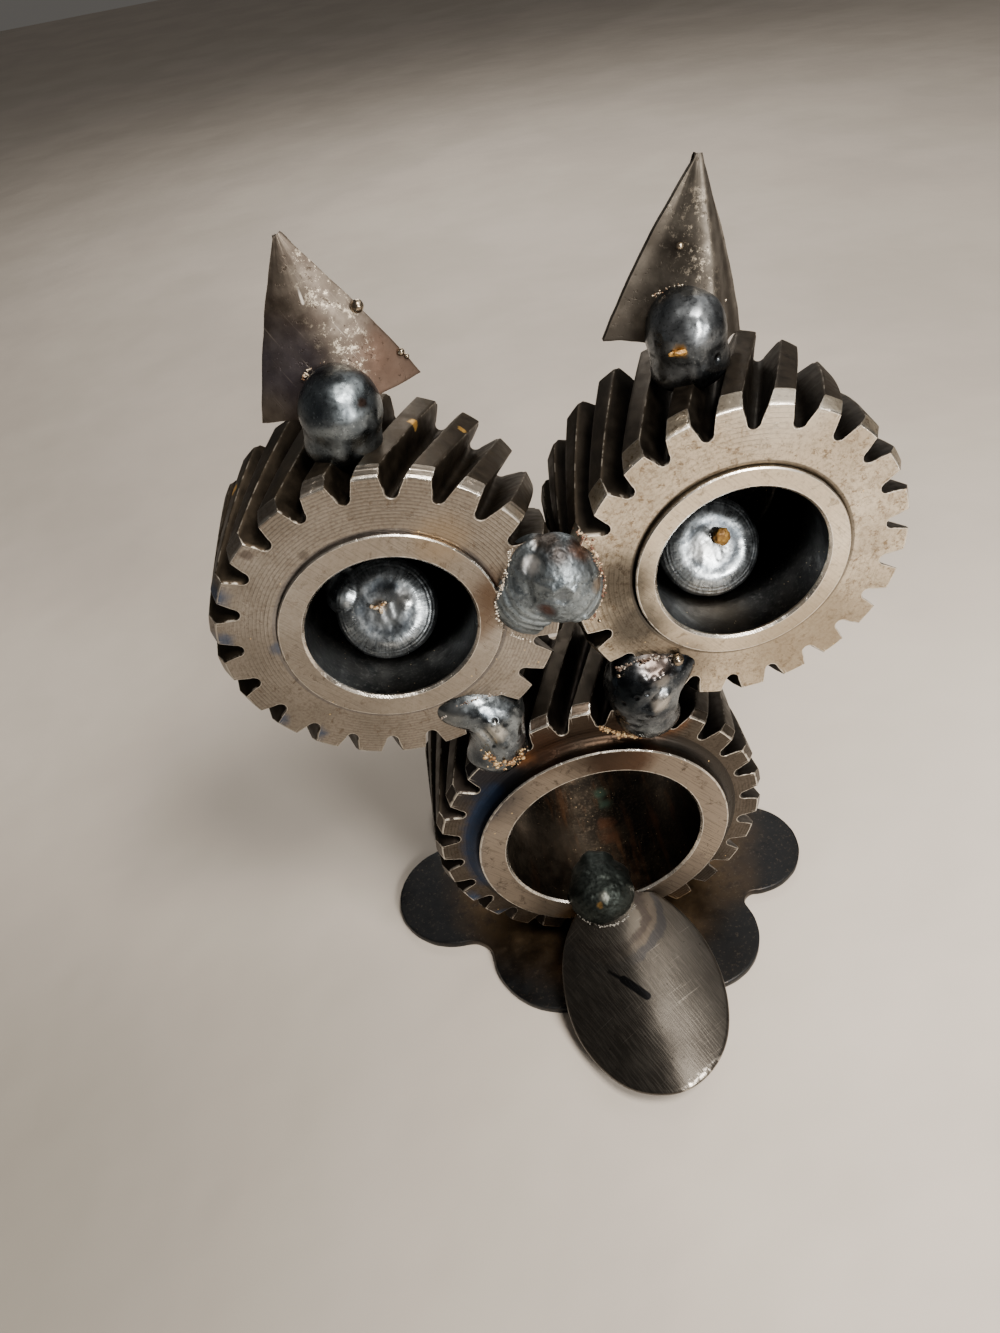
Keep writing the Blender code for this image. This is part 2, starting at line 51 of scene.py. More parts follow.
# Teeth, as in the solids, in millimetres
MODULE = 3
HELIX = radians(22.2)
ADDENDUM = 3.15
DEDENDUM = 3.4
EDGE_IN = 1.6

EYE_TEETH = 22
MOUTH_TEETH = 26
EYE_WIDTH = 35.5
EYE_BORE_DEPTH = 32
FLOOR_ROUND = 1.4
EDGE_TRIM = 0.12
MOUTH_WIDTH = 37
MOUTH_BOSS = 8.5

# Points along half a tooth: share of the pitch from its middle, and depth below the tip
LAND = ((0, 0), (0.07, 0), (0.13, 0), (0.178, 0), (0.2, 0.06), (0.211, 0.22))
FLANK_DEPTHS = (0.5, 1, 1.6, 2.2, 2.8, 3.4, 4, 4.5, 4.95)
# The flank's curve: depths, and the share of the pitch at each
FLANK_CURVE = ((0.5, 1.7, 3.2, 4.2, 4.95), (0.2175, 0.262, 0.302, 0.332, 0.352))
FILLET_STEPS = 5
FILLET_RISE = 1.6


# Geometry helpers

def metres(place):
    return tuple(v * MM for v in place)


def scaled(colour, factor, limit=1):
    return tuple(min(v * factor, limit) for v in colour)


def link(data, name):
    made = bpy.data.objects.new(name, data)
    bpy.context.scene.collection.objects.link(made)
    return made


def smooth_object(name, bm):
    """An object with smooth shading from a bmesh, which is freed."""
    mesh = bpy.data.meshes.new(name)
    bm.to_mesh(mesh)
    bm.free()
    mesh.shade_smooth()
    return link(mesh, name)


def ring_faces(rows, count, flipped=False):
    """Faces between rings of points, closed by fans about the two points that follow them."""
    faces = []
    for row in range(rows - 1):
        for k in range(count):
            a, b = row * count + k, row * count + (k + 1) % count
            faces.append((a, b, b + count, a + count))
    top, last = rows * count, (rows - 1) * count
    for k in range(count):
        after = (k + 1) % count
        faces += [(top, after, k), (top + 1, last + k, last + after)]
    return [face[:1] + face[:0:-1] for face in faces] if flipped else faces


def mesh_object(name, points, faces, sharp, marks=None, slots=None):
    """An object from points in millimetres, with vertex marks and material slots by face."""
    mesh = bpy.data.meshes.new(name)
    mesh.from_pydata([tuple(p) for p in np.asarray(points) * MM], [],
                     [tuple(int(i) for i in f) for f in faces])
    for mark, values in (marks or {}).items():
        layer = mesh.attributes.new(mark, "FLOAT", "POINT")
        layer.data.foreach_set("value", np.asarray(values, dtype=np.float32))
    if slots is not None:
        mesh.polygons.foreach_set("material_index", np.asarray(slots, dtype=np.int32))
    mesh.update()
    mesh.shade_smooth()
    if sharp:
        mesh.set_sharp_from_angle(angle=radians(sharp))
    return link(mesh, name)


def finish_piece(piece, node, slot, *looks):
    for look in looks:
        piece.data.materials.append(look)
    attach(piece, "root")
    if node:
        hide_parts(node)


# Gears

def pitch_radius(teeth):
    return teeth * MODULE / cos(HELIX) / 2


def tooth_columns(teeth):
    """Angle and radius of each point round a gear's end outline."""
    tip = pitch_radius(teeth) + ADDENDUM
    height = ADDENDUM + DEDENDUM
    half = [(share, tip - depth) for share, depth in LAND]
    half += [(float(np.interp(depth, *FLANK_CURVE)), tip - depth) for depth in FLANK_DEPTHS]
    start = FLANK_CURVE[1][-1]
    for step in range(1, FILLET_STEPS + 1):
        turn = step / FILLET_STEPS * pi / 2
        half.append((0.5 - (0.5 - start) * cos(turn), tip - height + FILLET_RISE * (1 - sin(turn))))
    tooth = [(-share, radius) for share, radius in half[-2:0:-1]] + half
    pitch = 2 * pi / teeth
    angles = np.array([(k + share) * pitch for k in range(teeth) for share, _ in tooth])
    radii = np.array([radius for _ in range(teeth) for _, radius in tooth])
    return angles, radii


class GearBuilder:
    """Rows of points round a gear's axis, from its inside out over the front and to the back."""

    def __init__(self, teeth, phase, face_depth):
        self.teeth = teeth
        self.tip = pitch_radius(teeth) + ADDENDUM
        self.root = pitch_radius(teeth) - DEDENDUM
        self.rate = tan(HELIX) / pitch_radius(teeth)
        self.angles, self.radii = tooth_columns(teeth)
        self.angles = self.angles + phase
        self.face = face_depth
        self.rows = []
        self.zones = []
        self.edges = []
        self.caps = []

    def add(self, x, z, depth, zone, edge, cap=None):
        turn = -self.rate * (depth - self.face)
        c, s = cos(turn), sin(turn)
        self.rows.append(np.stack([c * x - s * z, np.full(len(x), float(depth)), s * x + c * z], axis=1))
        self.zones.append(zone)
        self.edges.append(np.full(len(x), float(edge)) if np.isscalar(edge) else edge)
        self.caps.append(cap)

    def circles(self, zone, *rings):
        """Plain rings, each a radius, a depth and a mark for its edge."""
        for radius, depth, *edge in rings:
            self.add(radius * np.cos(self.angles), radius * np.sin(self.angles), depth, zone, *edge or (0,))

    def outline(self, depth, cap, zone, inset=0, edge=0, crease=0):
        radius = np.minimum(self.radii, cap)
        x, z = radius * np.cos(self.angles), radius * np.sin(self.angles)
        if inset:
            tx, tz = np.roll(x, -1) - np.roll(x, 1), np.roll(z, -1) - np.roll(z, 1)
            size = np.hypot(tx, tz)
            x, z = x - inset * tz / size, z + inset * tx / size
            off = np.arctan2(z, x) - self.angles
            turn = self.angles + (off + pi) % (2 * pi) - pi
            turn = (np.maximum.accumulate(turn) + np.minimum.accumulate(turn[::-1])[::-1]) / 2
            radius = np.hypot(x, z)
            x, z = radius * np.cos(turn), radius * np.sin(turn)
        marks = np.where(np.abs(self.radii - cap) < 1e-4, max(crease, edge), edge)
        for _, drop in LAND[4:]:
            marks = np.maximum(marks, np.where(np.isclose(self.radii, self.tip - drop), 0.6, 0))
        self.add(x, z, depth, zone, marks, cap)

    def teeth_side(self, start, chamfer, end):
        """The toothed wall, with rows placed so that the chamfer's crease runs through points."""
        low = self.tip - EDGE_IN
        self.outline(start, low, "face", inset=0.42)
        self.outline(start, low, "face", inset=EDGE_TRIM, edge=1)
        self.outline(start + EDGE_TRIM, low + EDGE_TRIM * EDGE_IN / chamfer, "side", edge=0.8)
        depths = {depth for _, depth in LAND} | set(FLANK_DEPTHS)
        for depth in sorted((depth for depth in depths if depth < EDGE_IN), reverse=True):
            at = start + chamfer * (EDGE_IN - depth) / EDGE_IN
            self.outline(at, self.tip - depth, "side", crease=1)
        first, last, rows = start + chamfer + 0.3, end - 1.2, 10
        for step in range(rows + 1):
            self.outline(first + (last - first) * step / rows, self.tip, "side")
        self.outline(end - 0.15, self.tip - 0.9, "side", edge=0.6)
        self.outline(end, self.tip - 1.05, "back", inset=0.15, edge=0.6)

    def build(self, name, centre, ends, zone_slots):
        """Close the rows into one skin; ends are the depths of the points on the axis, or None."""
        count = len(self.angles)
        points = np.concatenate(self.rows)
        edges = np.concatenate(self.edges)
        capped = np.concatenate([self.radii >= (cap or 0) - 1e-4 for cap in self.caps])
        faces, slots = [], []
        pairs = [(i, i + 1) for i in range(len(self.rows) - 1)]
        if ends is None:
            pairs.append((len(self.rows) - 1, 0))
        here = np.arange(count)
        after = (here + 1) % count
        falling = (self.radii > self.radii[after])[:, None]
        for i, k in pairs:
            a, b, c, d = i * count + here, i * count + after, k * count + here, k * count + after
            first = np.where(falling, np.stack([a, c, b], 1), np.stack([a, c, d], 1))
            second = np.where(falling, np.stack([b, c, d], 1), np.stack([a, d, b], 1))
            both = np.stack([first, second], 1).reshape(-1, 3)
            faces.append(both)
            zone = np.full(len(both), zone_slots[self.zones[k]])
            if self.zones[k] == "side" and min(self.caps[i], self.caps[k]) < self.tip - 1e-6:
                zone = np.where(capped[both].all(1), zone_slots["face"], zone)
            slots.append(zone)
        for row, depth in zip((0, len(self.rows) - 1), ends or ()):
            points = np.concatenate([points, [[0, depth, 0]]])
            edges = np.append(edges, 0)
            tip = np.full(count, len(points) - 1)
            a, b = row * count + here, row * count + after
            faces.append(np.stack([tip, a, b] if row == 0 else [tip, b, a], 1))
            slots.append(np.full(count, zone_slots[self.zones[row]]))
        return mesh_object(name, points + np.array(centre), np.concatenate(faces), 34,
                           {"edge": edges}, np.concatenate(slots))


def front_middle(node):
    low, high = (np.array(v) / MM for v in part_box(node))
    return (low[0] + high[0]) / 2, low[1], (low[2] + high[2]) / 2


def eye_gear(name, node, looks, phase, hub, rise, bore, chamfer, groove):
    """An eye: blind bore, proud hub ring with a turned groove round it, and the teeth."""
    gear = GearBuilder(EYE_TEETH, phase, rise)
    floor, lip, rim, step_in = EYE_BORE_DEPTH, 0.5, 0.25, 0.5
    back = rise + EYE_WIDTH
    wide, deep = groove
    start, rows = floor - FLOOR_ROUND, 8
    gear.circles("bore", *((radius, floor) for radius in (5, 10, 14, bore - 1.6)))
    for turn in (radians(30), radians(60), radians(90)):
        gear.circles("bore", (bore - FLOOR_ROUND * (1 - sin(turn)), floor - FLOOR_ROUND * (1 - cos(turn))))
    gear.circles("bore", *((bore, start - (start - 1) * step / rows) for step in range(1, rows + 1)))
    gear.circles("hub", (bore, lip, 0.7), (bore + lip, 0, 1), (bore + 0.85, 0), ((bore + hub) / 2, 0),
                 (hub - 0.6, 0), (hub - rim, 0, 0.9), (hub, rim, 0.8))
    turns = [radians(15 * step) for step in range(7)]
    gear.circles("groove", (hub + 0.02, rise + deep - 0.2),
                 *((hub + 0.1 + wide * (1 - cos(turn)), rise + deep * (1 - sin(turn))) for turn in turns))
    gear.circles("face", (hub + wide + 0.25, rise, 0.4), (hub + wide + 0.6, rise),
                 ((hub + wide + gear.root) / 2, rise), (gear.root - 0.9, rise))
    gear.teeth_side(rise, chamfer, back)
    gear.circles("back", (gear.root - 1.2, back), (gear.root - 2.4, back, 0.4),
                 (gear.root - 2.9, back - step_in, 0.2), (hub - 0.5, back - step_in, 0.2),
                 (hub - 1, back, 0.6), (hub - 1.6, back), (9, back), (2.2, back, 0.5),
                 (1.8, back - 0.4, 0.2))
    piece = gear.build(name, front_middle(node), (floor, back - 1.6),
                       {"bore": 2, "hub": 0, "groove": 0, "face": 0, "side": 1, "back": 0})
    finish_piece(piece, node, "eye_steel", *looks)


def mouth_gear(name, node, looks, phase):
    """The mouth: a through bore, a raised front ring with a hollow fillet, and a rear boss."""
    ring, rise, fillet, bore, chamfer, boss = 34.1, 4.4, 3.1, 26.5, 2.5, 33
    lip, rim = 0.5, 0.3
    back = rise + MOUTH_WIDTH
    end = back + MOUTH_BOSS
    gear = GearBuilder(MOUTH_TEETH, phase, rise)
    turns = [radians(90 * step / 8) for step in range(9)]
    gear.circles("bore", *((bore, end - 0.6 - (end - 1.3) * step / 10) for step in range(11)))
    gear.circles("ring", (bore, lip, 0.8), (bore + lip, 0, 1), (bore + 0.9, 0), ((bore + ring) / 2, 0),
                 (ring - 0.7, 0), (ring - rim, 0, 0.9), (ring, rim, 0.9), (ring, 0.7),
                 *((ring + fillet * (1 - cos(turn)), rise - fillet + fillet * sin(turn)) for turn in turns))
    gear.circles("face", (gear.root - 0.9, rise))
    gear.teeth_side(rise, chamfer, back)
    gear.circles("back", (gear.root - 1.2, back), (boss + 0.8, back), (boss, back + 0.8),
                 (boss, end - 0.5, 0.4), (boss - 0.5, end, 0.7), (boss - 1, end), (bore + 1, end),
                 (bore + 0.6, end, 0.7))
    piece = gear.build(name, front_middle(node), None,
                       {"bore": 2, "ring": 0, "face": 0, "side": 1, "back": 0})
    finish_piece(piece, node, "mouth_steel", *looks)


# Shader helpers

class Look:
    """Wires the nodes of one material; places are object coordinates in metres."""

    def __init__(self, name, metallic=1):
        self.material = bpy.data.materials.new(name)
        self.material.use_nodes = True
        self.nodes = self.material.node_tree.nodes
        self.links = self.material.node_tree.links
        self.shader = self.nodes["Principled BSDF"]
        self.shader.inputs["Metallic"].default_value = metallic
        self.place = self.node("TexCoord", (), "Object")
        self.base = None
        self.normal = None

    def put(self, socket, value):
        if isinstance(value, bpy.types.NodeSocket):
            self.links.new(value, socket)
        elif socket.type == "RGBA":
            socket.default_value = (*value, 1)
        else:
            socket.default_value = value

    def node(self, kind, inputs, output=0, **settings):
        """The output of a new node, made from pairs of an input and its value."""
        made = self.nodes.new("ShaderNode" + kind)
        for key, value in settings.items():
            setattr(made, key, value)
        for key, value in inputs:
            self.put(made.inputs[key], value)
        return made.outputs[output]

    def math(self, operation, *values, clamp=False):
        return self.node("Math", enumerate(values), operation=operation, use_clamp=clamp)

    def times(self, a, b):
        return self.math("MULTIPLY", a, b)

    def vector(self, operation, a, b=(0, 0, 0)):
        """A vector, or a number where the operation measures."""
        made = self.nodes.new("ShaderNodeVectorMath")
        made.operation = operation
        self.put(made.inputs[0], a)
        self.put(made.inputs["Scale" if operation == "SCALE" else 1], b)
        return made.outputs["Value" if operation in ("LENGTH", "DISTANCE", "DOT_PRODUCT") else "Vector"]

    def noise(self, scale, detail=4, roughness=0.55, distortion=0, stretch=None):
        where = self.vector("MULTIPLY", self.place, stretch) if stretch else self.place
        return self.node("TexNoise", (("Vector", where), ("Scale", scale), ("Detail", detail),
                                      ("Roughness", roughness), ("Distortion", distortion)))

    def grain(self, way, across, fine, coarse):
        """Noise drawn out along one direction, for scratches; the scales count waves in a metre."""
        along = self.vector("DOT_PRODUCT", self.place, way)
        side = self.vector("DOT_PRODUCT", self.place, across)
        return self.plot(self.times(along, coarse), self.times(side, fine))

    def plot(self, x, y):
        """Noise over two numbers."""
        join = self.node("CombineXYZ", ((0, x), (1, y)))
        return self.node("TexNoise", (("Vector", join), ("Scale", 1), ("Detail", 3)))

    def cells(self, scale):
        return self.node("TexVoronoi", (("Vector", self.place), ("Scale", scale)))

    def fade(self, value, low, high, start=0, stop=1):
        inputs = (("Value", value), ("From Min", low), ("From Max", high), ("To Min", start),
                  ("To Max", stop))
        return self.node("MapRange", inputs, interpolation_type="SMOOTHSTEP")

    def mix(self, share, a, b):
        return self.node("Mix", ((0, share), (6, a), (7, b)), 2, data_type="RGBA", clamp_factor=True)

    def start(self, share, low, high, dark, light):
        """The first colour: two tones, mixed by where a share lies between two values."""
        self.base = self.mix(self.fade(share, low, high), dark, light)

    def tint(self, share, colour, weight=None):
        """Lays a colour over the base by a share, which a weight can weaken."""
        if weight is not None:
            share = self.times(share, weight)
        self.base = self.mix(share, self.base, colour)

    def stain(self, spots, ragged=0, scale=400):
        """Round spots of colour, each its place, inner and outer radius, colour and weight; most are stain
        marks or heat tint, and some lists hold painted highlights and painted shade.
        """
        for where, inner, outer, colour, weight in spots:
            self.tint(self.spot(where, inner, outer, ragged, scale), colour, weight)

    def edge(self, scale, low, high, least, top):
        """The edges that the mesh marks, broken up by noise: bright wear, and a painted highlight standing
        in for the glint off their rounding.
        """
        ragged = self.fade(self.noise(scale, 3), low, high, least, 1.1)
        mark = self.node("Attribute", (), "Fac", attribute_name="edge")
        return self.fade(self.times(mark, ragged), 0.35, top)

    def radius(self, centre):
        away = self.vector("SUBTRACT", self.place, metres(centre))
        flat = self.vector("MULTIPLY", away, (1, 0, 1))
        return self.times(self.vector("LENGTH", flat), 1 / MM)

    def away(self, centre):
        """The distance from a point, in millimetres."""
        return self.times(self.vector("DISTANCE", self.place, metres(centre)), 1 / MM)

    def wheel(self, centre, up):
        """Angle and radius in millimetres about a centre, in the plane of X and the direction up."""
        away = self.vector("SUBTRACT", self.place, metres(centre))
        side = self.vector("DOT_PRODUCT", away, (-1 / MM, 0, 0))
        rise = self.vector("DOT_PRODUCT", away, tuple(v / MM for v in up))
        far = self.math("SQRT", self.math("ADD", self.times(side, side), self.times(rise, rise)))
        return self.math("ARCTAN2", rise, side), far

    def band(self, value, low, high, soft):
        """1 between two values, fading to 0 over a soft rim."""
        return self.times(self.fade(value, low - soft, low), self.fade(value, high, high + soft, 1, 0))

    def spot(self, centre, inner, outer, ragged=0, scale=400):
        """1 inside a ball about a point, fading to 0; sizes in millimetres, with a ragged rim."""
        far = self.away(centre)
        if ragged:
            swing = self.math("SUBTRACT", self.noise(scale), 0.5)
            far = self.math("ADD", far, self.times(swing, ragged * 2))
        return self.fade(far, inner, outer, 1, 0)

    def stroke(self, start, end, half, soft):
        """1 along a straight stroke between two points, in millimetres."""
        a = Vector(start) * MM
        way = Vector(end) * MM - a
        from_a = self.vector("SUBTRACT", self.place, tuple(a))
        along = self.vector("DOT_PRODUCT", from_a, tuple(way / way.length_squared))
        nearest = self.vector("SCALE", tuple(way), self.math("ADD", along, 0, clamp=True))
        away = self.vector("LENGTH", self.vector("SUBTRACT", from_a, nearest))
        return self.fade(self.times(away, 1 / MM), half, half + soft, 1, 0)

    def rough(self, value):
        self.put(self.shader.inputs["Roughness"], value)

    def satin(self, share, low, high):
        """Roughness that wanders between two values with a share."""
        self.rough(self.fade(share, 0.3, 0.7, low, high))

    def turned(self, amount):
        """Highlights drawn out as on metal turned about the Y axis."""
        self.put(self.shader.inputs["Tangent"], self.node("Tangent", (), direction_type="RADIAL", axis="Y"))
        self.put(self.shader.inputs["Anisotropic"], amount)

    def bump(self, height, depth):
        """Adds a height, whose full swing is depth millimetres."""
        inputs = [("Strength", 1), ("Distance", depth * MM), ("Height", height)]
        if self.normal is not None:
            inputs.append(("Normal", self.normal))
        self.normal = self.node("Bump", inputs)

    def done(self):
        self.put(self.shader.inputs["Base Color"], self.base)
        if self.normal is not None:
            self.put(self.shader.inputs["Normal"], self.normal)
        return self.material


def machined(name, centre, tone, stain, line, groove, hub, spots, wear_and_glint, rubbed=0.35,
             polished=None, shine=1.35, speckled=0):
    """A turned gear face: fine turning rings, mottled patina, stain marks with some painted light and
    shade, painted shade in the groove round the hub, and bright edges of wear and painted glint.
    """
    look = Look(name)
    r = look.radius(centre)
    broad = look.noise(90, 5, 0.6)
    fine = look.noise(1300, 3, 0.7)
    look.start(broad, 0.3, 0.7, scaled(tone, 0.8), scaled(tone, 1.12))
    look.tint(look.fade(fine, 0.42, 0.7, 0, 0.45), scaled(stain, 0.8))
    wander = look.times(look.noise(55, 2), 0.5)
    rings = look.math("SINE", look.times(look.math("ADD", r, wander), 2 * pi / line))
    spread = look.fade(look.noise(38, 3), 0.4, 0.58, 0.25, 1)
    rings = look.times(look.fade(rings, 0, 0.95), spread)
    rings = look.times(rings, look.fade(r, hub + 0.5, hub + 2.5))
    look.tint(rings, scaled(tone, 0.3), 0.3 - 0.2 * speckled)
    on_hub = look.fade(r, hub - 0.4, hub, 1, 0)
    scratches = look.grain((0.66, 0, -0.75), (0.75, 0, 0.66), 2600, 90)
    scratches = look.times(look.fade(scratches, 0.5, 0.68), on_hub)
    look.tint(on_hub, scaled(tone, shine, 0.9), rubbed)
    look.tint(scratches, scaled(tone, 0.55), 0.35)
    blotch = look.fade(look.noise(420, 6, 0.7, 0.6), 0.54, 0.7, 0, 0.65)
    look.tint(blotch, stain)
    if speckled:
        dots = look.times(look.fade(look.noise(620, 7, 0.8), 0.53, 0.62, 0, speckled),
                         look.fade(r, hub, hub + 1))
        look.tint(dots, stain)
    # painted shade: a band darkened in the recess round the hub, a groove on the eyes and a hollow fillet
    # on the mouth
    inside, outside, tint, weight = groove
    look.tint(look.band(r, inside, outside, 0.3), tint, weight)
    look.stain(spots, 1.6)
    look.tint(look.fade(look.cells(230), 0.035, 0.055, 1, 0), (0.85, 0.62, 0.3), 0.7)
    # bright edges: wear, and a painted highlight for the glint off rounded edges
    edge = look.edge(500, 0.25, 0.6, 0.55, 0.95)
    look.tint(edge, (0.86, 0.82, 0.75), wear_and_glint)
    rough = look.fade(broad, 0.3, 0.7, 0.3, 0.42)
    rough = look.math("ADD", rough, look.times(blotch, 0.2))
    rough = look.math("SUBTRACT", rough, look.times(edge, 0.12), clamp=True)
    if polished:
        where, inner, outer, drop = polished
        rough = look.math("SUBTRACT", rough, look.times(look.spot(where, inner, outer), drop), clamp=True)
    look.rough(rough)
    look.turned(0.55)
    look.bump(rings, 0.025)
    look.bump(fine, 0.025)
    look.bump(look.times(blotch, -1), 0.05)
    look.bump(look.times(scratches, -1), 0.015)
    return look.done()


def flank(name, centre, tip, dark, light, flecks=()):
    """Tooth flanks: dark oily brown in the slots, paler on the outer lands, with bright edges of wear and
    painted glint.
    """
    look = Look(name)
    look.start(look.noise(140, 5, 0.65), 0.35, 0.7, dark, scaled(dark, 2.1))
    land = look.fade(look.radius(centre), tip - 1, tip - 0.15)
    patchy = look.fade(look.noise(260, 5, 0.6), 0.3, 0.62, 0.6, 1)
    look.tint(land, light, patchy)
    streaks = look.noise(500, 4, 0.6, 0, (1, 0.12, 1))
    look.tint(look.fade(streaks, 0.45, 0.7, 0, 0.3), scaled(dark, 0.7))
    for where, size in flecks:
        look.tint(look.spot(where, size * 0.55, size, size * 0.7, 900), (0.72, 0.42, 0.1))
    # bright edges: wear, and a painted highlight for the glint off rounded edges
    edge = look.edge(420, 0.35, 0.62, 0.15, 0.9)
    look.tint(edge, (0.55, 0.5, 0.43), 0.55)
    look.satin(look.noise(300, 4), 0.42, 0.6)
    look.bump(look.noise(700, 4, 0.65), 0.018)
    look.bump(streaks, 0.012)
    return look.done()


def bore(name, dark, light, spots=(), axial=0):
    """A bore's wall: dark metal with mottled grime and golden sparks."""
    look = Look(name)
    look.start(look.noise(120, 5, 0.6, 0.4), 0.35, 0.75, dark, light)
    look.tint(look.fade(look.noise(1100, 4, 0.7), 0.5, 0.72, 0, 0.7), scaled(light, 2.2))
    if axial:
        streaks = look.noise(300, 5, 0.6, 0, (1, 0.15, 1))
        look.tint(look.fade(streaks, 0.5, 0.72, 0, axial), (0.16, 0.07, 0.03))
    look.stain(spots, 2)
    look.tint(look.fade(look.cells(520), 0.04, 0.08, 1, 0), (0.7, 0.52, 0.3), 0.8)
    look.satin(look.noise(350, 4), 0.28, 0.42)
    look.bump(look.noise(900, 3), 0.04)
    return look.done()


def weld_look(form, name, pale, dark, spots=(), gloss=0.26, wrinkle=0.02, frozen=None):
    """Weld metal: blue-grey under a thin oxide, speckled, with rings or rays frozen into its skin.

    A spot's place is moved onto the form's skin if it is a tuple; on some welds the spots are painted
    highlights and painted shade.
    """
    look = Look(name)
    swirl = look.noise(330, 2, 0.5, 0.8)
    fine = look.noise(1500, 4, 0.6)
    look.start(look.noise(130, 4, 0.55, 0.6), 0.36, 0.64, dark, pale)
    look.tint(look.fade(swirl, 0.5, 0.7, 0, 0.4), scaled(dark, 0.6))
    if frozen:
        centre, up, inside, outside, rays, lines = frozen
        angle, far = look.wheel(centre, up)
        zone = look.band(far, inside, outside, 0.6)
        look.tint(zone, scaled(pale, 1.15, 0.9), 0.75)
        fibres = look.plot(look.times(angle, rays), look.times(far, lines))
        fibres = look.times(look.fade(fibres, 0.42, 0.62), zone)
        look.tint(fibres, dark, 0.6)
        look.bump(fibres, 0.012)
    look.tint(look.fade(fine, 0.53, 0.67, 0, 0.6), scaled(dark, 0.45))
    look.tint(look.fade(look.noise(1700, 4, 0.7), 0.59, 0.68, 0, 0.6), scaled(pale, 1.7, 0.9))
    placed = [(form.touch(where) if isinstance(where, tuple) else where, *rest) for where, *rest in spots]
    look.stain(placed, 0.9, 700)
    look.rough(look.fade(look.noise(260, 4, 0.6), 0.32, 0.7, gloss, gloss + 0.16))
    look.bump(swirl, wrinkle)
    look.bump(fine, 0.008)
    return look.done()


def slag_look(name, tones):
    """Crumbs of slag: dull and glassy, in two tones."""
    look = Look(name, 0.25)
    look.start(look.noise(700, 3), 0.4, 0.6, *tones)
    look.satin(look.noise(900, 3), 0.25, 0.6)
    look.bump(look.noise(2000, 3), 0.05)
    return look.done()


# Weld metal

def soft_min(a, b, blend):
    share = np.clip(0.5 + 0.5 * (b - a) / blend, 0, 1)
    return b + (a - b) * share - blend * share * (1 - share)


def ellipsoid(at, radii, tilt, nod):
    """The distance to an ellipsoid, tilted about Y and then nodded about X, in degrees."""
    turn = np.array(Matrix.Rotation(radians(nod), 3, "X") @ Matrix.Rotation(radians(tilt), 3, "Y"))
    at, radii = np.array(at), np.array(radii)

    def distance(points):
        local = (points - at) @ turn
        near = np.linalg.norm(local / radii, axis=1)
        slope = np.linalg.norm(local / radii ** 2, axis=1) + 1e-9
        return near * (near - 1) / slope

    return distance


class Melt:
    """Weld metal: soft-joined ellipsoids less hollows, then relief on their skin; millimetres."""

    # The skin is looked for along each ray in steps up to a reach, then by halving
    STEPS = 30
    REACH = 24
    HALVINGS = 11

    def __init__(self, centre):
        self.centre = np.array(centre, dtype=float)
        self.forms = []
        self.relief = []

    def blob(self, at, radii, tilt=0, nod=0, blend=3):
        shape = ellipsoid(at, radii, tilt, nod)
        self.forms.append(lambda points, away: soft_min(away, shape(points), blend))

    def hollow(self, at, radii, tilt=0):
        shape = ellipsoid(at, radii, tilt, 0)
        self.forms.append(lambda points, away: -soft_min(-away, shape(points), 1.2))

    def ripples(self, at, period, height, near, far):
        """Rings about a point, between two distances from it."""
        def lift(points):
            r = np.linalg.norm(points - np.array(at), axis=1)
            window = np.clip((r - near) / period, 0, 1) * np.clip((far - r) / period, 0, 1)
            return height * window * np.cos(2 * pi * r / period)
        self.relief.append(lift)

    def pit(self, at, radius, depth, rim=0):
        """A crater in the skin nearest to a point, or a bump where the depth is negative."""
        middle = self.touch(at)

        def lift(points):
            r = np.linalg.norm(points - middle, axis=1) / radius
            return rim * np.exp(-((r - 1.25) / 0.32) ** 2) - depth * np.exp(-r ** 4)
        self.relief.append(lift)

    def fold(self, start, end, width, height):
        """A ridge in the skin between two points, or a furrow where the height is negative."""
        first, last = self.touch(start), self.touch(end)
        way = last - first

        def lift(points):
            share = np.clip((points - first) @ way / (way @ way), 0, 1)
            far = np.linalg.norm(points - first - share[:, None] * way, axis=1)
            return height * np.exp(-(far / width) ** 2)
        self.relief.append(lift)

    def field(self, points, relief=()):
        away = np.full(len(points), 1e3)
        for form in self.forms:
            away = form(points, away)
        for lift in relief:
            away = away - lift(points)
        return away

    def touch(self, at):
        """The skin's point on the ray from the centre through a point."""
        way = np.array(at) - self.centre
        way = way / np.linalg.norm(way)
        return self.centre + way * self.skin(way[None])[0]

    def skin(self, ways):
        """How far the outermost skin lies from the centre along each of the rays."""
        inner = np.zeros(len(ways))
        step = self.REACH / self.STEPS
        for k in range(1, self.STEPS):
            inside = self.field(self.centre + ways * (k * step)) < 0
            inner = np.where(inside, k * step, inner)
        outer = inner + step * 2
        inner = np.maximum(inner - step, 0)
        for _ in range(self.HALVINGS):
            middle = (inner + outer) / 2
            inside = self.field(self.centre + ways * middle[:, None], self.relief) < 0
            inner, outer = np.where(inside, middle, inner), np.where(inside, outer, middle)
        return inner

    def build(self, name, node, look, skin, seed, detail=6, floor=None):
        """A fine ball of points moved onto the skin; skin is (waves per millimetre, height)."""
        bm = bmesh.new()
        bmesh.ops.create_icosphere(bm, subdivisions=detail, radius=1)
        ways = np.array([vert.co.normalized() for vert in bm.verts])
        points = self.centre + ways * self.skin(ways)[:, None]
        shift = Vector((seed, seed * 1.7, -seed))
        for scale, height in skin:
            lift = [noise.fractal(Vector(p) * scale + shift, 0.9, 2.1, 3) for p in points]
            points = points + ways * (np.array(lift) * height)[:, None]
        if floor is not None:
            points[:, 2] = np.maximum(points[:, 2], floor)
        for vert, point in zip(bm.verts, points):
            vert.co = point * MM
        finish_piece(smooth_object(name, bm), node, "weld_steel", look)


# Sheets

EAR_THICK = 1.4


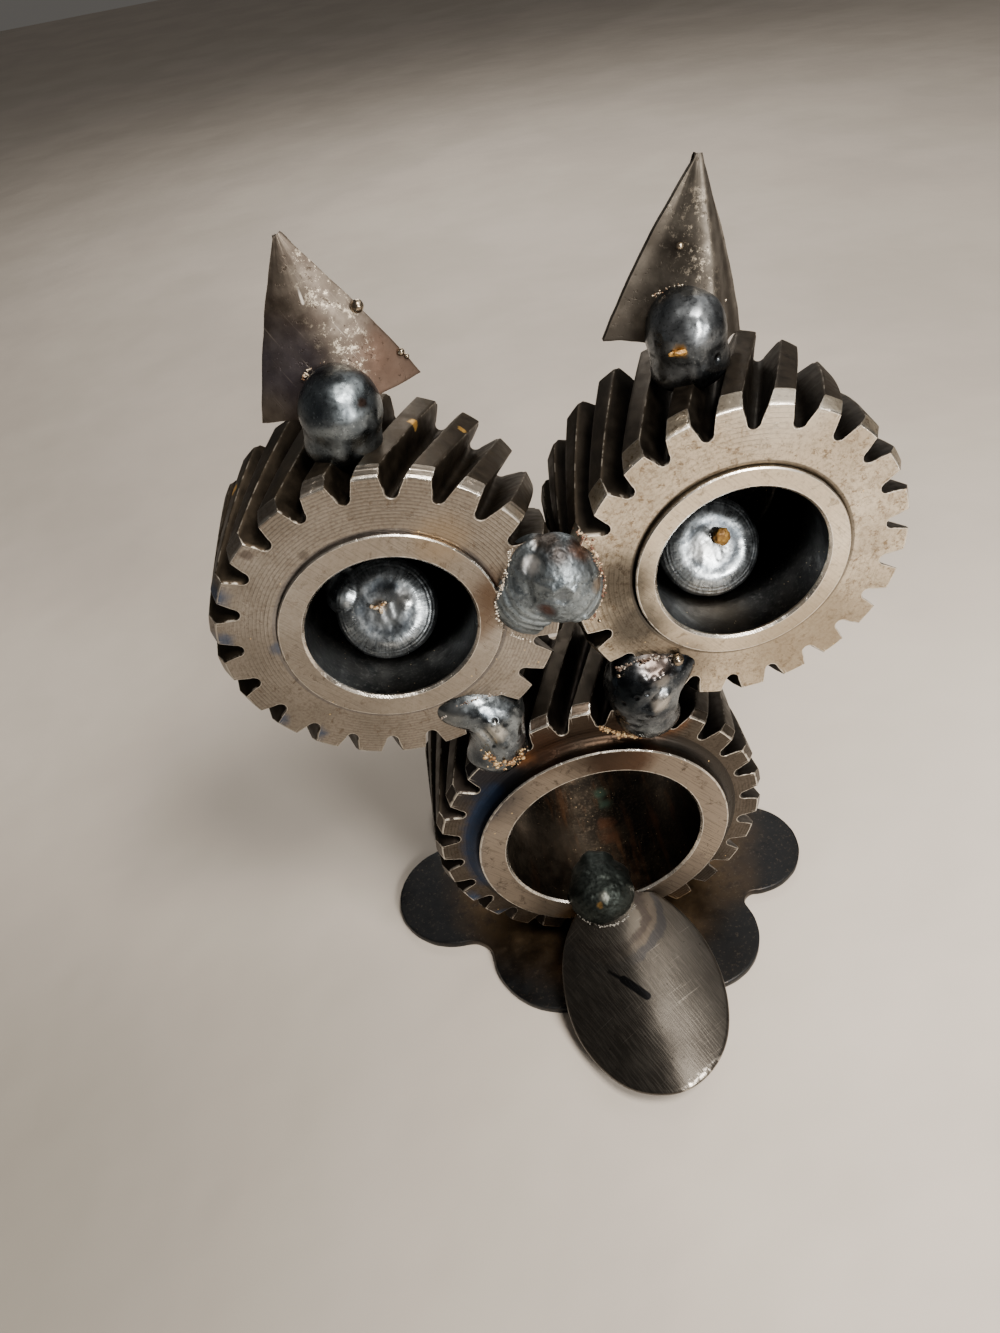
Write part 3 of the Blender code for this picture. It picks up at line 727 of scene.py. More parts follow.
def ear_sheet(name, node, look, place, half, height, lean, slope, arch, ridge, power, fullness):
    """A thin sheet bent about a ridge, with slightly wavy cut edges."""
    columns, rows = 56, 60
    bm = bmesh.new()
    bmesh.ops.create_grid(bm, x_segments=columns, y_segments=rows, size=1)
    turn = Matrix.Rotation(-slope, 3, "Y")
    for vert in bm.verts:
        side, up = vert.co.x, (vert.co.y + 1) / 2
        narrow = (1 - up) * (1 + fullness * up)
        wave = 0.18 * noise.noise(Vector((up * 9, side * 3, place[0])))
        width = half * (0.02 + 0.98 * narrow) + wave * abs(side)
        reach = 1 + ridge if side < ridge else 1 - ridge
        bow = (1 - ((side - ridge) / reach) ** 2) ** power
        dent = 0.12 * noise.noise(Vector((side * 2.3, up * 3.1, place[0] + 4)))
        rise = height * up + 0.15 * noise.noise(Vector((side * 6, 0, 2)))
        at = Vector((lean * up + width * side, -arch * narrow * bow + dent, rise))
        vert.co = (turn @ at + Vector(place)) * MM
    sheet = smooth_object(name, bm)
    solid = sheet.modifiers.new("thickness", "SOLIDIFY")
    solid.thickness = EAR_THICK * MM
    solid.offset = 0
    rim = sheet.modifiers.new("rim", "BEVEL")
    rim.width = 0.2 * MM
    rim.segments = 2
    rim.angle_limit = radians(50)
    finish_piece(sheet, node, "sheet_steel", look)


def tongue_sheet(name, node, look):
    """An oval plate bent across its width, with a rounded rim, made of rings from its middle."""
    pitch, yaw, roll = radians(16), radians(7.2), radians(6.3)
    level = Vector((cos(yaw), sin(yaw), 0))
    ahead = Vector((sin(yaw), -cos(yaw), 0))
    along = ahead * cos(pitch) - Vector((0, 0, sin(pitch)))
    across = Matrix.Rotation(roll, 3, along) @ level
    up = across.cross(-along)
    lip = Vector((0.7, -22.7, 22.77))
    half_width, half_length, droop, middle = 21.9, 28.7, 7.4, 25.5
    turns, rings, thick, flat = 160, 36, 0.9, 0.985
    profile = [(k / rings * flat, thick) for k in range(1, rings + 1)]
    bend = [radians(turn) for turn in (60, 30, 0, -30, -60)]
    profile += [(flat + (1 - flat) * cos(turn), thick * sin(turn)) for turn in bend]
    profile += [(k / rings * flat, -thick) for k in range(rings, 0, -1)]

    def place(share, angle, lift):
        wave = 1 + 0.008 * noise.noise(Vector((cos(angle) * 2.2, sin(angle) * 2.2, 1)))
        side = half_width * share * cos(angle) * wave
        reach = half_length * share * sin(angle) * wave
        dent = 0.12 * noise.noise(Vector((side * 0.1, reach * 0.1, 7)))
        rise = lift + dent - droop * abs(side / half_width) ** 1.75
        return lip + (middle + reach) * along + side * across + rise * up

    points = [place(share, 2 * pi * k / turns, lift) for share, lift in profile for k in range(turns)]
    points += [place(0, 0, thick), place(0, 0, -thick)]
    sheet = mesh_object(name, points, ring_faces(len(profile), turns), 0)
    bm = bmesh.new()
    bm.from_mesh(sheet.data)
    cut = bmesh.ops.bisect_plane(bm, geom=bm.verts[:] + bm.edges[:] + bm.faces[:],
                                 plane_co=(0, lip.y * MM, 0), plane_no=(0, 1, 0), clear_outer=True)
    rim = [edge for edge in cut["geom_cut"] if isinstance(edge, bmesh.types.BMEdge)]
    bmesh.ops.contextual_create(bm, geom=rim)
    bm.to_mesh(sheet.data)
    bm.free()
    sheet.data.shade_smooth()
    sheet.data.set_sharp_from_angle(angle=radians(60))
    finish_piece(sheet, node, "sheet_steel", look)


# Foot plate: direction in degrees, reach, radius and the radius of the notch after it
LOBES = (
    (39, 44.1, 18.6, 5), (90, 44.1, 18.6, 5), (141, 43, 18.6, 5), (187.2, 47, 18.9, 7.4),
    (242.3, 36.9, 21.2, 5), (300.1, 44, 18.1, 3.7), (346.4, 46.7, 16.8, 5),
)
PLATE_CENTRE = (2.6, 11.9)
PLATE_THICK = 2.4


def sweep(centre, radius, start, end, sense, step):
    first = np.arctan2(start.y, start.x)
    angle = (sense * (np.arctan2(end.y, end.x) - first)) % (2 * pi)
    count = max(3, round(angle / step))
    turns = [first + sense * angle * k / count for k in range(count + 1)]
    return [centre + radius * Vector((cos(t), sin(t))) for t in turns]


def lobed_outline(step):
    lobes = []
    for direction, reach, radius, notch in LOBES:
        way = Vector((cos(radians(direction)), sin(radians(direction))))
        lobes.append((Vector(PLATE_CENTRE) + reach * way, radius, notch))
    notches = []
    for (a, ra, notch), (b, rb, _) in zip(lobes, lobes[1:] + lobes[:1]):
        apart = (b - a).length
        along = ((ra + notch) ** 2 - (rb + notch) ** 2 + apart ** 2) / (2 * apart)
        out = ((ra + notch) ** 2 - along ** 2) ** 0.5
        way = (b - a) / apart
        notches.append(a + along * way + out * Vector((way.y, -way.x)))
    points = []
    for index, (centre, radius, notch) in enumerate(lobes):
        points += sweep(centre, radius, notches[index - 1] - centre, notches[index] - centre, 1, step)
        following = lobes[(index + 1) % len(lobes)][0]
        back, on = centre - notches[index], following - notches[index]
        points += sweep(notches[index], notch, back, on, -1, step * 2)[1:-1]
    return points


def foot_plate(name, node, look):
    """The flat lobed plate, with its upper and lower rims a little rounded."""
    outline = lobed_outline(radians(3.5))
    count = len(outline)
    flat = np.array([(p.x, p.y) for p in outline])
    ahead, behind = np.roll(flat, -1, 0), np.roll(flat, 1, 0)
    tangent = ahead - behind
    normal = np.stack([tangent[:, 1], -tangent[:, 0]], 1) / np.hypot(*tangent.T)[:, None]
    ragged = np.array([0.12 * noise.noise(Vector((x * 0.35, y * 0.35, 3))) for x, y in flat])
    flat = flat + normal * ragged[:, None]
    middle = np.array(PLATE_CENTRE)
    rows = []
    for share in (0.12, 0.25, 0.4, 0.55, 0.7, 0.82, 0.92):
        rows.append((middle + (flat - middle) * share, PLATE_THICK))
    for inset, drop in ((0.6, 0), (0.3, 0.02), (0.1, 0.12), (0, 0.35)):
        rows.append((flat - normal * inset, PLATE_THICK - drop))
    for inset, height in ((0, 0.3), (0.1, 0.1), (0.35, 0)):
        rows.append((flat - normal * inset, height))
    for share in (0.9, 0.6, 0.3):
        rows.append((middle + (flat - middle) * share, 0))
    points = [(x, y, z) for ring, z in rows for x, y in ring]
    points += [(*middle, PLATE_THICK), (*middle, 0)]
    plate = mesh_object(name, points, ring_faces(len(rows), count, True), 40)
    finish_piece(plate, node, "plate_steel", look)


def lumps(name, look, items, rough, detail):
    """Small beads and crumbs, each a place and a radius or three radii, joined into one piece."""
    bm = bmesh.new()
    for index, (place, size) in enumerate(items):
        radii = size if isinstance(size, tuple) else (size,) * 3
        made = bmesh.ops.create_icosphere(bm, subdivisions=detail, radius=1)
        for vert in made["verts"]:
            grow = 1 + rough * noise.fractal(vert.co * 1.6 + Vector((index * 3.7, 0, 0)), 1, 2, 3)
            vert.co = Vector([(place[k] + vert.co[k] * radii[k] * grow) * MM for k in range(3)])
    finish_piece(smooth_object(name, bm), None, "weld_steel", look)


def slag(name, look_name, tones, items, rough=0.18, detail=2):
    """Crumbs of slag in a look of their own, in two tones."""
    lumps(name, slag_look(look_name, tones), items, rough, detail)


def along(path, count, size, spread, seed):
    """Crumbs scattered along a path of points, for lumps; millimetres."""
    chance = random.Random(seed)
    items = []
    for _ in range(count):
        at = chance.random() * (len(path) - 1)
        k = min(int(at), len(path) - 2)
        place = Vector(path[k]).lerp(Vector(path[k + 1]), at - k)
        place += Vector([chance.gauss(0, spread) for _ in range(3)])
        grow = size * chance.uniform(0.45, 1.3)
        items.append((place, (grow, grow * chance.uniform(0.6, 1), grow * chance.uniform(0.5, 1))))
    return items


# Camera, floor and light

def area_light(name, place, aim, size, power, color):
    lamp = bpy.data.lights.new(name, "AREA")
    lamp.shape = "RECTANGLE"
    lamp.size, lamp.size_y = size
    lamp.energy = power
    lamp.color = color
    made = link(lamp, name)
    made.location = place
    made.rotation_euler = (Vector(aim) - Vector(place)).to_track_quat("-Z", "Y").to_euler()


def set_stage():
    camera = bpy.data.cameras.new("camera")
    camera.lens = 27
    camera.sensor_width = 36
    camera.clip_start = 0.01
    eye = link(camera, "camera")
    eye.location = (-0.01967, -0.19380, 0.26212)
    eye.rotation_euler = (radians(49.04), radians(8.36), radians(-7.94))
    bpy.context.scene.camera = eye

    paper = Look("pale_paper", 0)
    paper.start(paper.noise(9, 4), 0.35, 0.65, (0.62, 0.56, 0.495), (0.68, 0.615, 0.545))
    # painted shadow towards the lower left and painted light towards the right
    paper.stain((((-190, -90, 0), 20, 250, (0.32, 0.29, 0.25), 0.95),
                 ((230, -20, 0), 20, 220, (0.82, 0.75, 0.67), 0.9)))
    paper.rough(0.75)
    paper.bump(paper.noise(12, 3, 0.5), 3)
    paper.bump(paper.noise(60, 4, 0.5), 0.25)
    bm = bmesh.new()
    bmesh.ops.create_grid(bm, x_segments=2, y_segments=2, size=3)
    floor = smooth_object("floor", bm)
    floor.data.materials.append(paper.done())

    world = bpy.data.worlds.new("studio")
    world.use_nodes = True
    background = world.node_tree.nodes["Background"]
    background.inputs["Color"].default_value = (1, 0.94, 0.87, 1)
    background.inputs["Strength"].default_value = 0.10
    bpy.context.scene.world = world
    area_light("lamp", (0.2, -0.28, 0.62), (0, 0, 0.08), (0.2, 0.2), 5.5, (1, 0.93, 0.84))
    area_light("window", (0.22, -0.5, 0.3), (0, 0, 0.12), (0.14, 0.14), 3.2, (1, 0.95, 0.88))
    area_light("overhead", (0.5, 0.2, 0.7), (0, 0, 0.1), (0.6, 0.5), 1.2, (1, 0.94, 0.86))
    area_light("back", (0.1, 0.8, 0.6), (0, 0.5, 0), (0.4, 0.3), 2.8, (1, 0.95, 0.88))


# The owl

# Each pupil: X and Z of its middle, seed, folds (start, end, width, height), spots (place, reach, colour):
# a stain, and a near-white painted highlight
PUPILS = (
    ("left", -40.9, 121.9, 7,
     (((-1.6, 1), (-1.3, -2), 1.1, 0.3), ((1.1, 1.2), (1.3, -1.8), 1, 0.25),
      ((3.2, 4.4), (4.8, 0.4), 1.6, 0.35), ((4.8, 0.4), (3.2, -3.8), 1.6, 0.35)),
     # the near-white spot is a painted highlight
     (((-1.2, 1.2), 2.2, (0.5, 0.33, 0.18)), ((4.6, 1.6), 3.4, (0.8, 0.82, 0.83)))),
    ("right", 37.4, 121, 8,
     (((-2.6, 3.6), (-2.4, -3.4), 2.2, 0.4), ((0.9, 2), (1.4, -3.2), 1.2, 0.3)),
     # the near-white spot is a painted highlight
     (((2.6, 1.6), 2.4, (0.3, 0.2, 0.1)), ((-2.6, -0.4), 4, (0.8, 0.82, 0.83)))),
)

LEFT_EYE = (-38.95, -20.4, 130.25)
RIGHT_EYE = (38.95, -21.4, 129.4)
MOUTH = (1.4, -22.4, 47.97)
EYE_TIP = pitch_radius(EYE_TEETH) + ADDENDUM
MOUTH_TIP = pitch_radius(MOUTH_TEETH) + ADDENDUM
BLUE = (0.045, 0.085, 0.17)
RUST = (0.22, 0.09, 0.035)
OCHRE = (0.62, 0.36, 0.1)
# near black: painted shade in weld pits and holes, and the ink of the marker strokes
NEAR_BLACK = (0.012, 0.012, 0.013)


def left_eye():
    face = machined("left_eye_face", LEFT_EYE, (0.30, 0.268, 0.23), (0.16, 0.12, 0.085), 0.8,
                    # groove band: painted shade in the groove round the hub
                    (24.55, 25.4, (0.09, 0.09, 0.10), 0.5), 24.5, (
        ((-15.5, -20.5, 133.5), 2, 10, (0.10, 0.06, 0.035), 0.85),
        ((-20.5, -20.5, 127), 1, 6, (0.13, 0.085, 0.055), 0.7),
        # painted highlight: gold sheen on the hub's fillet at its top right
        ((-24.5, -19.4, 150.5), 2, 8.5, (0.36, 0.26, 0.15), 0.4),
        ((-63.5, -19.4, 155.8), 0.6, 1.9, (0.09, 0.07, 0.06), 0.7),
        # painted shade: dark blue on the left side of the hub's fillet
        ((-64.2, -19.4, 131), 0.6, 2.4, BLUE, 0.5),
        ((-52, -19.4, 152.8), 0.4, 1.4, (0.08, 0.065, 0.055), 0.6),
        ((-24, -20.5, 99), 2, 9, (0.12, 0.085, 0.055), 0.5),
        ((-72.6, -18, 147), 1, 4.4, BLUE, 0.8), ((-74.4, -18, 136), 1, 3.6, BLUE, 0.7),
        ((-69.8, -18, 111.2), 1, 3.8, BLUE, 0.8), ((-62.6, -18, 104.6), 1, 3.6, BLUE, 0.8)), wear_and_glint=0.55)
    side = flank("left_eye_teeth", LEFT_EYE, EYE_TIP, (0.022, 0.017, 0.012), (0.066, 0.052, 0.037), (
        ((-24.9, 1.9, 166.2), 1.7), ((-15.4, 4.9, 161), 1.3), ((-14, 6.5, 161.5), 0.9),
        ((-16.6, 3, 160), 0.8), ((-66.8, 6.1, 157), 1.6)))
    wall = bore("left_eye_bore", (0.012, 0.012, 0.012), (0.035, 0.033, 0.03))
    eye_gear("owl_left_eye", "left_eye_gear", (face, side, wall), phase=radians(20.6), hub=24.5, rise=1,
             bore=18.8, chamfer=2.5, groove=(1.6, 0.2))


def right_eye():
    face = machined("right_eye_face", RIGHT_EYE, (0.6, 0.52, 0.405), (0.22, 0.16, 0.10), 1.1,
                    # groove band: painted shade in the groove round the hub
                    (24.05, 25, (0.07, 0.06, 0.05), 0.75), 24, (
        ((11.5, -21.5, 131), 3, 13, (0.03, 0.025, 0.02), 0.88),
        ((14.5, -21.5, 118), 3, 12, (0.045, 0.042, 0.038), 0.86),
        ((22, -21.5, 104), 3, 14, (0.11, 0.088, 0.066), 0.8),
        # painted light: the face made paler towards the top
        ((48, -20, 168), 3, 17, (0.9, 0.84, 0.74), 0.5),
        ((56, -21.4, 102), 6, 26, (0.27, 0.22, 0.155), 0.65)), wear_and_glint=0.95, rubbed=0.5, speckled=0.9)
    side = flank("right_eye_teeth", RIGHT_EYE, EYE_TIP, (0.016, 0.013, 0.01), (0.055, 0.044, 0.033))
    wall = bore("right_eye_bore", (0.009, 0.009, 0.009), (0.028, 0.026, 0.024), (
        ((34, -14, 110), 3, 12, (0.06, 0.045, 0.03), 0.6),))
    eye_gear("owl_right_eye", "right_eye_gear", (face, side, wall), phase=radians(12.9), hub=24, rise=1.1,
             bore=19.3, chamfer=3.9, groove=(1, 0.55))


def mouth():
    # painted shade: blue-black on the left of the hollow fillet, which faces away from the light
    fillet_shade = [((MOUTH[0] + 35.8 * cos(radians(turn)), -19.6, MOUTH[2] + 35.8 * sin(radians(turn))), 1, 4.6,
              (0.02, 0.036, 0.078), 0.8) for turn in range(138, 200, 6)]
    face = machined("mouth_face", MOUTH, (0.088, 0.074, 0.06), (0.04, 0.027, 0.018), 0.9,
                    # groove band: painted shade over the hollow fillet round the ring
                    (34.4, 37.2, (0.03, 0.027, 0.024), 0.9), 34.1, (
        # painted shade: dark blue-black at the upper left, by the fillet
        ((-26, -18, 74), 3, 15, (0.022, 0.024, 0.032), 0.85),
        *fillet_shade,
        ((8, -22.4, 78.5), 5, 12, (0.075, 0.042, 0.026), 0.95),
        ((2, -18, 84), 4, 16, (0.035, 0.024, 0.017), 0.85),
        ((-12, -18, 84), 3, 10, (0.05, 0.026, 0.016), 0.85),
        ((22, -18, 84), 2, 7, RUST, 0.5),
        ((-16.5, -18, 81.5), 1, 4.5, RUST, 0.6),
        ((-9.5, -21.4, 17), 2, 8, (0.34, 0.2, 0.09), 0.8),
        ((-38, -16.5, 30), 1, 4, BLUE, 0.8),
        ((-31, -16.5, 19), 1, 4, BLUE, 0.8)), wear_and_glint=0.7, rubbed=0.95,
                    polished=((33, -22.4, 38), 3, 12, 0.2), shine=3)
    # the lands are darker partly as painted shade, for the shadow of the eye gears over the mouth's upper
    # teeth
    side = flank("mouth_teeth", MOUTH, MOUTH_TIP, (0.015, 0.012, 0.01), (0.045, 0.037, 0.028))
    wall = bore("mouth_bore", (0.015, 0.012, 0.009), (0.05, 0.037, 0.025), (
        ((6.6, 17.6, 22.3), 0.5, 3.4, (0.05, 0.085, 0.06), 0.8),
        ((7, 12.6, 22.1), 0.5, 3.2, (0.05, 0.085, 0.06), 0.7),
        ((5.7, 5, 21.9), 0.5, 3.8, (0.13, 0.055, 0.028), 0.6),
        ((6.2, 0, 21.8), 0.5, 4.2, (0.13, 0.055, 0.028), 0.6),
        ((-26, -6, 44), 6, 26, (0.15, 0.125, 0.095), 0.75),
        ((-12, -2, 24), 4, 16, (0.12, 0.095, 0.07), 0.6)), axial=0.5)
    mouth_gear("owl_mouth", "mouth_gear", (face, side, wall), phase=radians(9.6))


def brow_weld():
    form = Melt((-3, -18, 134.4))
    form.blob((-6.6, -18.5, 130.6), (9.8, 5.8, 9.8))
    form.blob((-6, -18, 138.4), (5.8, 5, 7.4), blend=2.5)
    form.ripples((-3, -22, 137), 1.9, 0.14, 8.2, 14.6)
    form.blob((-0.8, -19.6, 134.2), (8.6, 8, 11.4), -14, blend=0.4)
    form.hollow((-1.6, -19, 120.4), (5.8, 30, 6.6))
    form.pit((-7.2, -24.2, 143), 2.4, 0.6, 0.1)
    crater = form.touch((-6, -27.4, 131.2))
    form.pit(crater, 2.2, 0.45, 0.2)
    form.pit((-1.5, -27.8, 135.6), 1.8, 0.3, 0.08)
    form.fold((-7.4, -26.5, 139.2), (-4, -27, 138), 0.9, 0.3)
    form.fold((-5, -27.6, 136.6), (-1, -27.6, 138.8), 0.7, 0.35)
    form.fold((1, -27.2, 136), (2.6, -26.6, 132), 1.2, 0.25)
    form.pit((2.4, -26, 128), 0.6, -0.4)
    look = weld_look(form, "brow_metal", (0.27, 0.31, 0.335), (0.115, 0.138, 0.157), (
        (crater, 0.8, 2.8, (0.10, 0.05, 0.04), 0.9),
        # painted shade in the dimple
        ((-1.5, -27.8, 135.6), 0.5, 2.4, (0.09, 0.10, 0.11), 0.7),
        # painted highlight on the upper left
        ((-8, -23.5, 143.6), 0.6, 3, (0.9, 0.9, 0.9), 0.9),
        ((-0.6, -25.2, 145.4), 1, 4.6, (0.035, 0.03, 0.028), 0.9),
        # painted shade dulling the lamp's highlight at the upper right
        ((3.4, -25, 141), 1, 4.6, (0.08, 0.09, 0.10), 0.7),
        ((5, -22, 144.2), 1, 4, (0.13, 0.06, 0.032), 0.8),
        ((6, -24, 134.6), 0.6, 2.6, (0.34, 0.24, 0.15), 0.6),
        ((-3, -20, 148.6), 1.5, 5, (0.05, 0.036, 0.027), 0.9)), gloss=0.38, wrinkle=0.03,
                     frozen=((-3, -22, 137), (0, 0, 1), 8.8, 14.2, 0.5, 1.2))
    form.build("owl_brow", "brow_weld", look, ((0.16, 0.25), (0.6, 0.07), (1.5, 0.05)), seed=1, detail=7)
    rim = ((3.2, -21.6, 147.4), (5.4, -21.6, 144.1), (7, -21.6, 139.4), (7.8, -21.6, 134.6),
           (7.6, -21.6, 130.4), (5.8, -21.6, 126.6), (3.8, -21.6, 123))
    slag("owl_brow_slag", "brow_slag", ((0.12, 0.05, 0.03), (0.62, 0.48, 0.33)),
         along(rim, 190, 0.3, 0.34, 3))
    rim = ((-10.6, -21, 145.9), (-11.8, -21, 141.5), (-13.8, -21, 136.8), (-15.6, -21, 133.1),
           (-16, -21, 129.2), (-15.2, -21, 125.3), (-12.6, -21, 122.6), (-9.6, -20.8, 120.6))
    slag("owl_brow_rim", "brow_rim_slag", ((0.2, 0.16, 0.12), (0.75, 0.68, 0.58)),
         along(rim, 120, 0.24, 0.2, 4))


def ear_welds():
    form = Melt((-38.3, -6.4, 176))
    form.blob((-38.5, -6.4, 176.2), (8.3, 8.8, 8.9))
    form.blob((-39.6, -6.4, 169.4), (7.9, 7.4, 5.2), 10, blend=2.4)
    form.pit((-36.3, -12.4, 183.2), 1.5, 0.12)
    form.pit((-34.6, -15, 176.6), 2.4, -0.15)
    left = weld_look(form, "left_ear_metal", (0.23, 0.265, 0.29), (0.09, 0.108, 0.125), (
        ((-33.2, -13.1, 179.7), 0.3, 1.5, (0.10, 0.05, 0.03), 0.8),
        # painted shade at the dome's foot, where it meets the dark tooth slots
        ((-38.5, -12.5, 167.5), 1, 6, (0.03, 0.027, 0.024), 0.85)), gloss=0.25, wrinkle=0.012)
    form.build("owl_left_ear_weld", "left_ear_weld", left, ((0.12, 0.2), (0.5, 0.05)), seed=2)
    form = Melt((33, -0.4, 175.19))
    form.blob((33.1, -0.4, 175.4), (8.3, 8.8, 9.2))
    form.blob((33.6, -1, 168.8), (8.2, 7.6, 5.2), -8, blend=2.4)
    form.fold((34, -8.2, 181.6), (38.6, -7.4, 176), 1.6, 0.2)
    form.pit((37.6, -8, 171.6), 0.8, 0.4, 0.1)
    right = weld_look(form, "right_ear_metal", (0.23, 0.25, 0.27), (0.085, 0.096, 0.108), (
        ((29.4, -8.6, 175.1), 0.6, 2, OCHRE, 0.85),
        # painted shade in the pit
        ((37.6, -8, 171.6), 0.3, 1.3, NEAR_BLACK, 0.9),
        # painted shade at the dome's foot, where it meets the dark tooth slots
        ((33, -8, 167), 1, 5, (0.026, 0.025, 0.024), 0.85)), gloss=0.25, wrinkle=0.012)
    form.build("owl_right_ear_weld", "right_ear_weld", right, ((0.12, 0.25), (0.5, 0.06)), seed=3)
    rim = ((-44.6, -2.2, 182.2), (-43, -1.9, 183.6), (-39.8, -1.8, 184.6), (-35.8, -1.7, 184.4),
           (-32.6, -1.4, 182.4), (-30.2, -1.2, 179.2), (-29, -1.2, 176.6))
    items = along(rim, 150, 0.22, 0.2, 5)
    rim = ((27, 1.8, 183), (30.1, 1.2, 184.6), (35, 0.9, 184.6), (40, 1.8, 182), (42.2, 2.4, 178.9))
    items += along(rim, 60, 0.17, 0.17, 6)
    slag("owl_ear_rim_slag", "ear_slag", ((0.2, 0.11, 0.06), (0.75, 0.64, 0.5)), items)
    drops = (((29.6, -8.9, 175.1), (1.4, 0.5, 0.6)), ((28.2, -7.9, 174.6), (0.8, 0.4, 0.5)),
             ((39.6, -3.2, 125.3), (1.8, 1.2, 2.3)))
    slag("owl_ochre_slag", "ochre_slag", ((0.26, 0.13, 0.03), (0.48, 0.27, 0.065)), drops,
         rough=0.2, detail=4)


def cheek_welds():
    form = Melt((-22.5, -16.5, 95.5))
    form.blob((-24.6, -15.8, 101), (11, 7.6, 6.2), 14)
    form.blob((-20.8, -17, 91), (6.6, 8.2, 9.8), 8, blend=4.5)
    form.blob((-22, -17, 85), (7.6, 5.6, 4), blend=3.5)
    form.hollow((-33, -18, 91.8), (4.9, 30, 6.2), 12)
    form.fold((-22.6, -24.2, 101.4), (-20, -25, 94), 1.1, 0.8)
    form.fold((-20.4, -24, 101), (-18.2, -24.6, 95.5), 0.8, 0.5)
    form.fold((-26.8, -24.4, 99), (-24.4, -25.6, 94.6), 1, 0.5)
    form.fold((-24.6, -25, 99.4), (-22.4, -25.8, 94), 0.7, -0.3)
    hole = form.touch((-20.8, -24.6, 101.8))
    form.pit(hole, 0.6, 0.7, 0.15)
    crust_path = [form.touch(at) for at in ((-24.4, -25.4, 90.4), (-22.6, -25, 87.6), (-19.4, -24, 87.4),
                                            (-16.4, -21.6, 88.4))]
    left = weld_look(form, "left_cheek_metal", (0.2, 0.225, 0.245), (0.07, 0.082, 0.095), (
        # painted shade in the hole
        (hole, 0.3, 0.9, NEAR_BLACK, 0.95),
        # painted highlights on the folds
        ((-21.6, -25.2, 98), 1, 3.6, (0.55, 0.54, 0.5), 0.7),
        ((-25.6, -25, 97), 0.6, 2.4, (0.42, 0.43, 0.42), 0.6),
        ((-30, -21, 103), 1, 5, (0.3, 0.32, 0.33), 0.6),
        ((-27, -22, 88), 1, 4, (0.035, 0.045, 0.06), 0.8)), gloss=0.2, wrinkle=0.02)
    form.build("owl_left_cheek", "left_cheek_weld", left, ((0.16, 0.3), (0.45, 0.07)), seed=4)
    form = Melt((17.5, -17.5, 96))
    form.blob((15.8, -17.6, 97.4), (9.4, 9.4, 12.4), -8)
    form.blob((22, -15.8, 102.4), (7.6, 7.2, 5.4), -18, blend=4)
    form.blob((16.4, -17, 88), (7.6, 7.8, 5.2), blend=4)
    form.hollow((27.8, -18, 92.8), (4.6, 30, 6.4), -12)
    form.fold((15.6, -26.4, 96.4), (19.8, -26.4, 100.2), 1.2, 0.8)
    form.fold((13.6, -26.4, 98.6), (18.2, -25.6, 102.6), 0.9, -0.5)
    form.fold((16, -25, 104), (20.6, -24.4, 105.8), 1.2, 0.35)
    form.fold((9.6, -24, 92.2), (12.6, -25, 92), 0.6, 0.3)
    for at in ((14.4, -24.4, 106), (17, -24.8, 104.8), (19.4, -24.4, 105.8), (21.6, -23.8, 104.2),
               (17.4, -25.6, 102.4)):
        form.pit(at, 0.9, -0.3)
    holes = [form.touch(at) for at in ((10.1, -23.9, 98.8), (15.1, -25.6, 101.6), (12.6, -25.6, 101))]
    for hole in holes:
        form.pit(hole, 0.55, 0.4, 0.1)
    # painted shade in the holes
    spots = [(hole, 0.2, 0.8, NEAR_BLACK, 0.9) for hole in holes]
    right = weld_look(form, "right_cheek_metal", (0.145, 0.16, 0.175), (0.03, 0.036, 0.044), (
        # painted highlights on the folds
        ((17.8, -26.4, 98.8), 0.8, 3.4, (0.5, 0.47, 0.43), 0.7),
        ((18.8, -24.8, 103.6), 0.6, 2.4, (0.32, 0.31, 0.29), 0.5),
        # painted shade: the left part darkened for a dark reflection
        ((9.6, -24.5, 101.5), 2, 8, (0.012, 0.016, 0.02), 0.95),
        # painted sheen on the lower lip
        ((15, -25, 88), 1, 4.4, (0.27, 0.30, 0.32), 0.7),
        ((18, -22, 107), 2, 6.5, (0.07, 0.052, 0.044), 0.85), *spots), gloss=0.2, wrinkle=0.02)
    form.build("owl_right_cheek", "right_cheek_weld", right, ((0.16, 0.3), (0.45, 0.07)), seed=5)
    lower = ((4, -19, 87.4), (6.9, -20.2, 86), (9.3, -21, 85), (12.2, -21.4, 84), (15.2, -21.2, 83.8),
             (18.4, -21, 84), (20.6, -20.8, 84.8))
    items = along(lower, 170, 0.34, 0.3, 7)
    items += along(crust_path, 60, 0.55, 0.6, 8)
    items += along(crust_path, 90, 0.25, 0.9, 13)
    slag("owl_cheek_slag", "cheek_slag", ((0.2, 0.1, 0.04), (0.54, 0.39, 0.21)), items)
    top = ((9, -21.5, 107), (13, -22, 109), (18, -21.6, 108.6), (23, -20.8, 106.6))
    items = along(top, 90, 0.3, 0.3, 9)
    top = ((-33.6, -20.6, 102), (-29, -20.8, 105.4), (-23, -21, 106.8), (-18, -20.6, 106.2))
    items += along(top, 70, 0.22, 0.2, 10)
    foot = ((-27.6, -18.6, 83.4), (-24.6, -18.6, 81.2), (-21, -18.6, 80.4), (-17.6, -18.6, 82))
    items += along(foot, 60, 0.25, 0.25, 12)
    slag("owl_cheek_rims", "grey_slag", ((0.08, 0.045, 0.03), (0.42, 0.37, 0.32)), items)


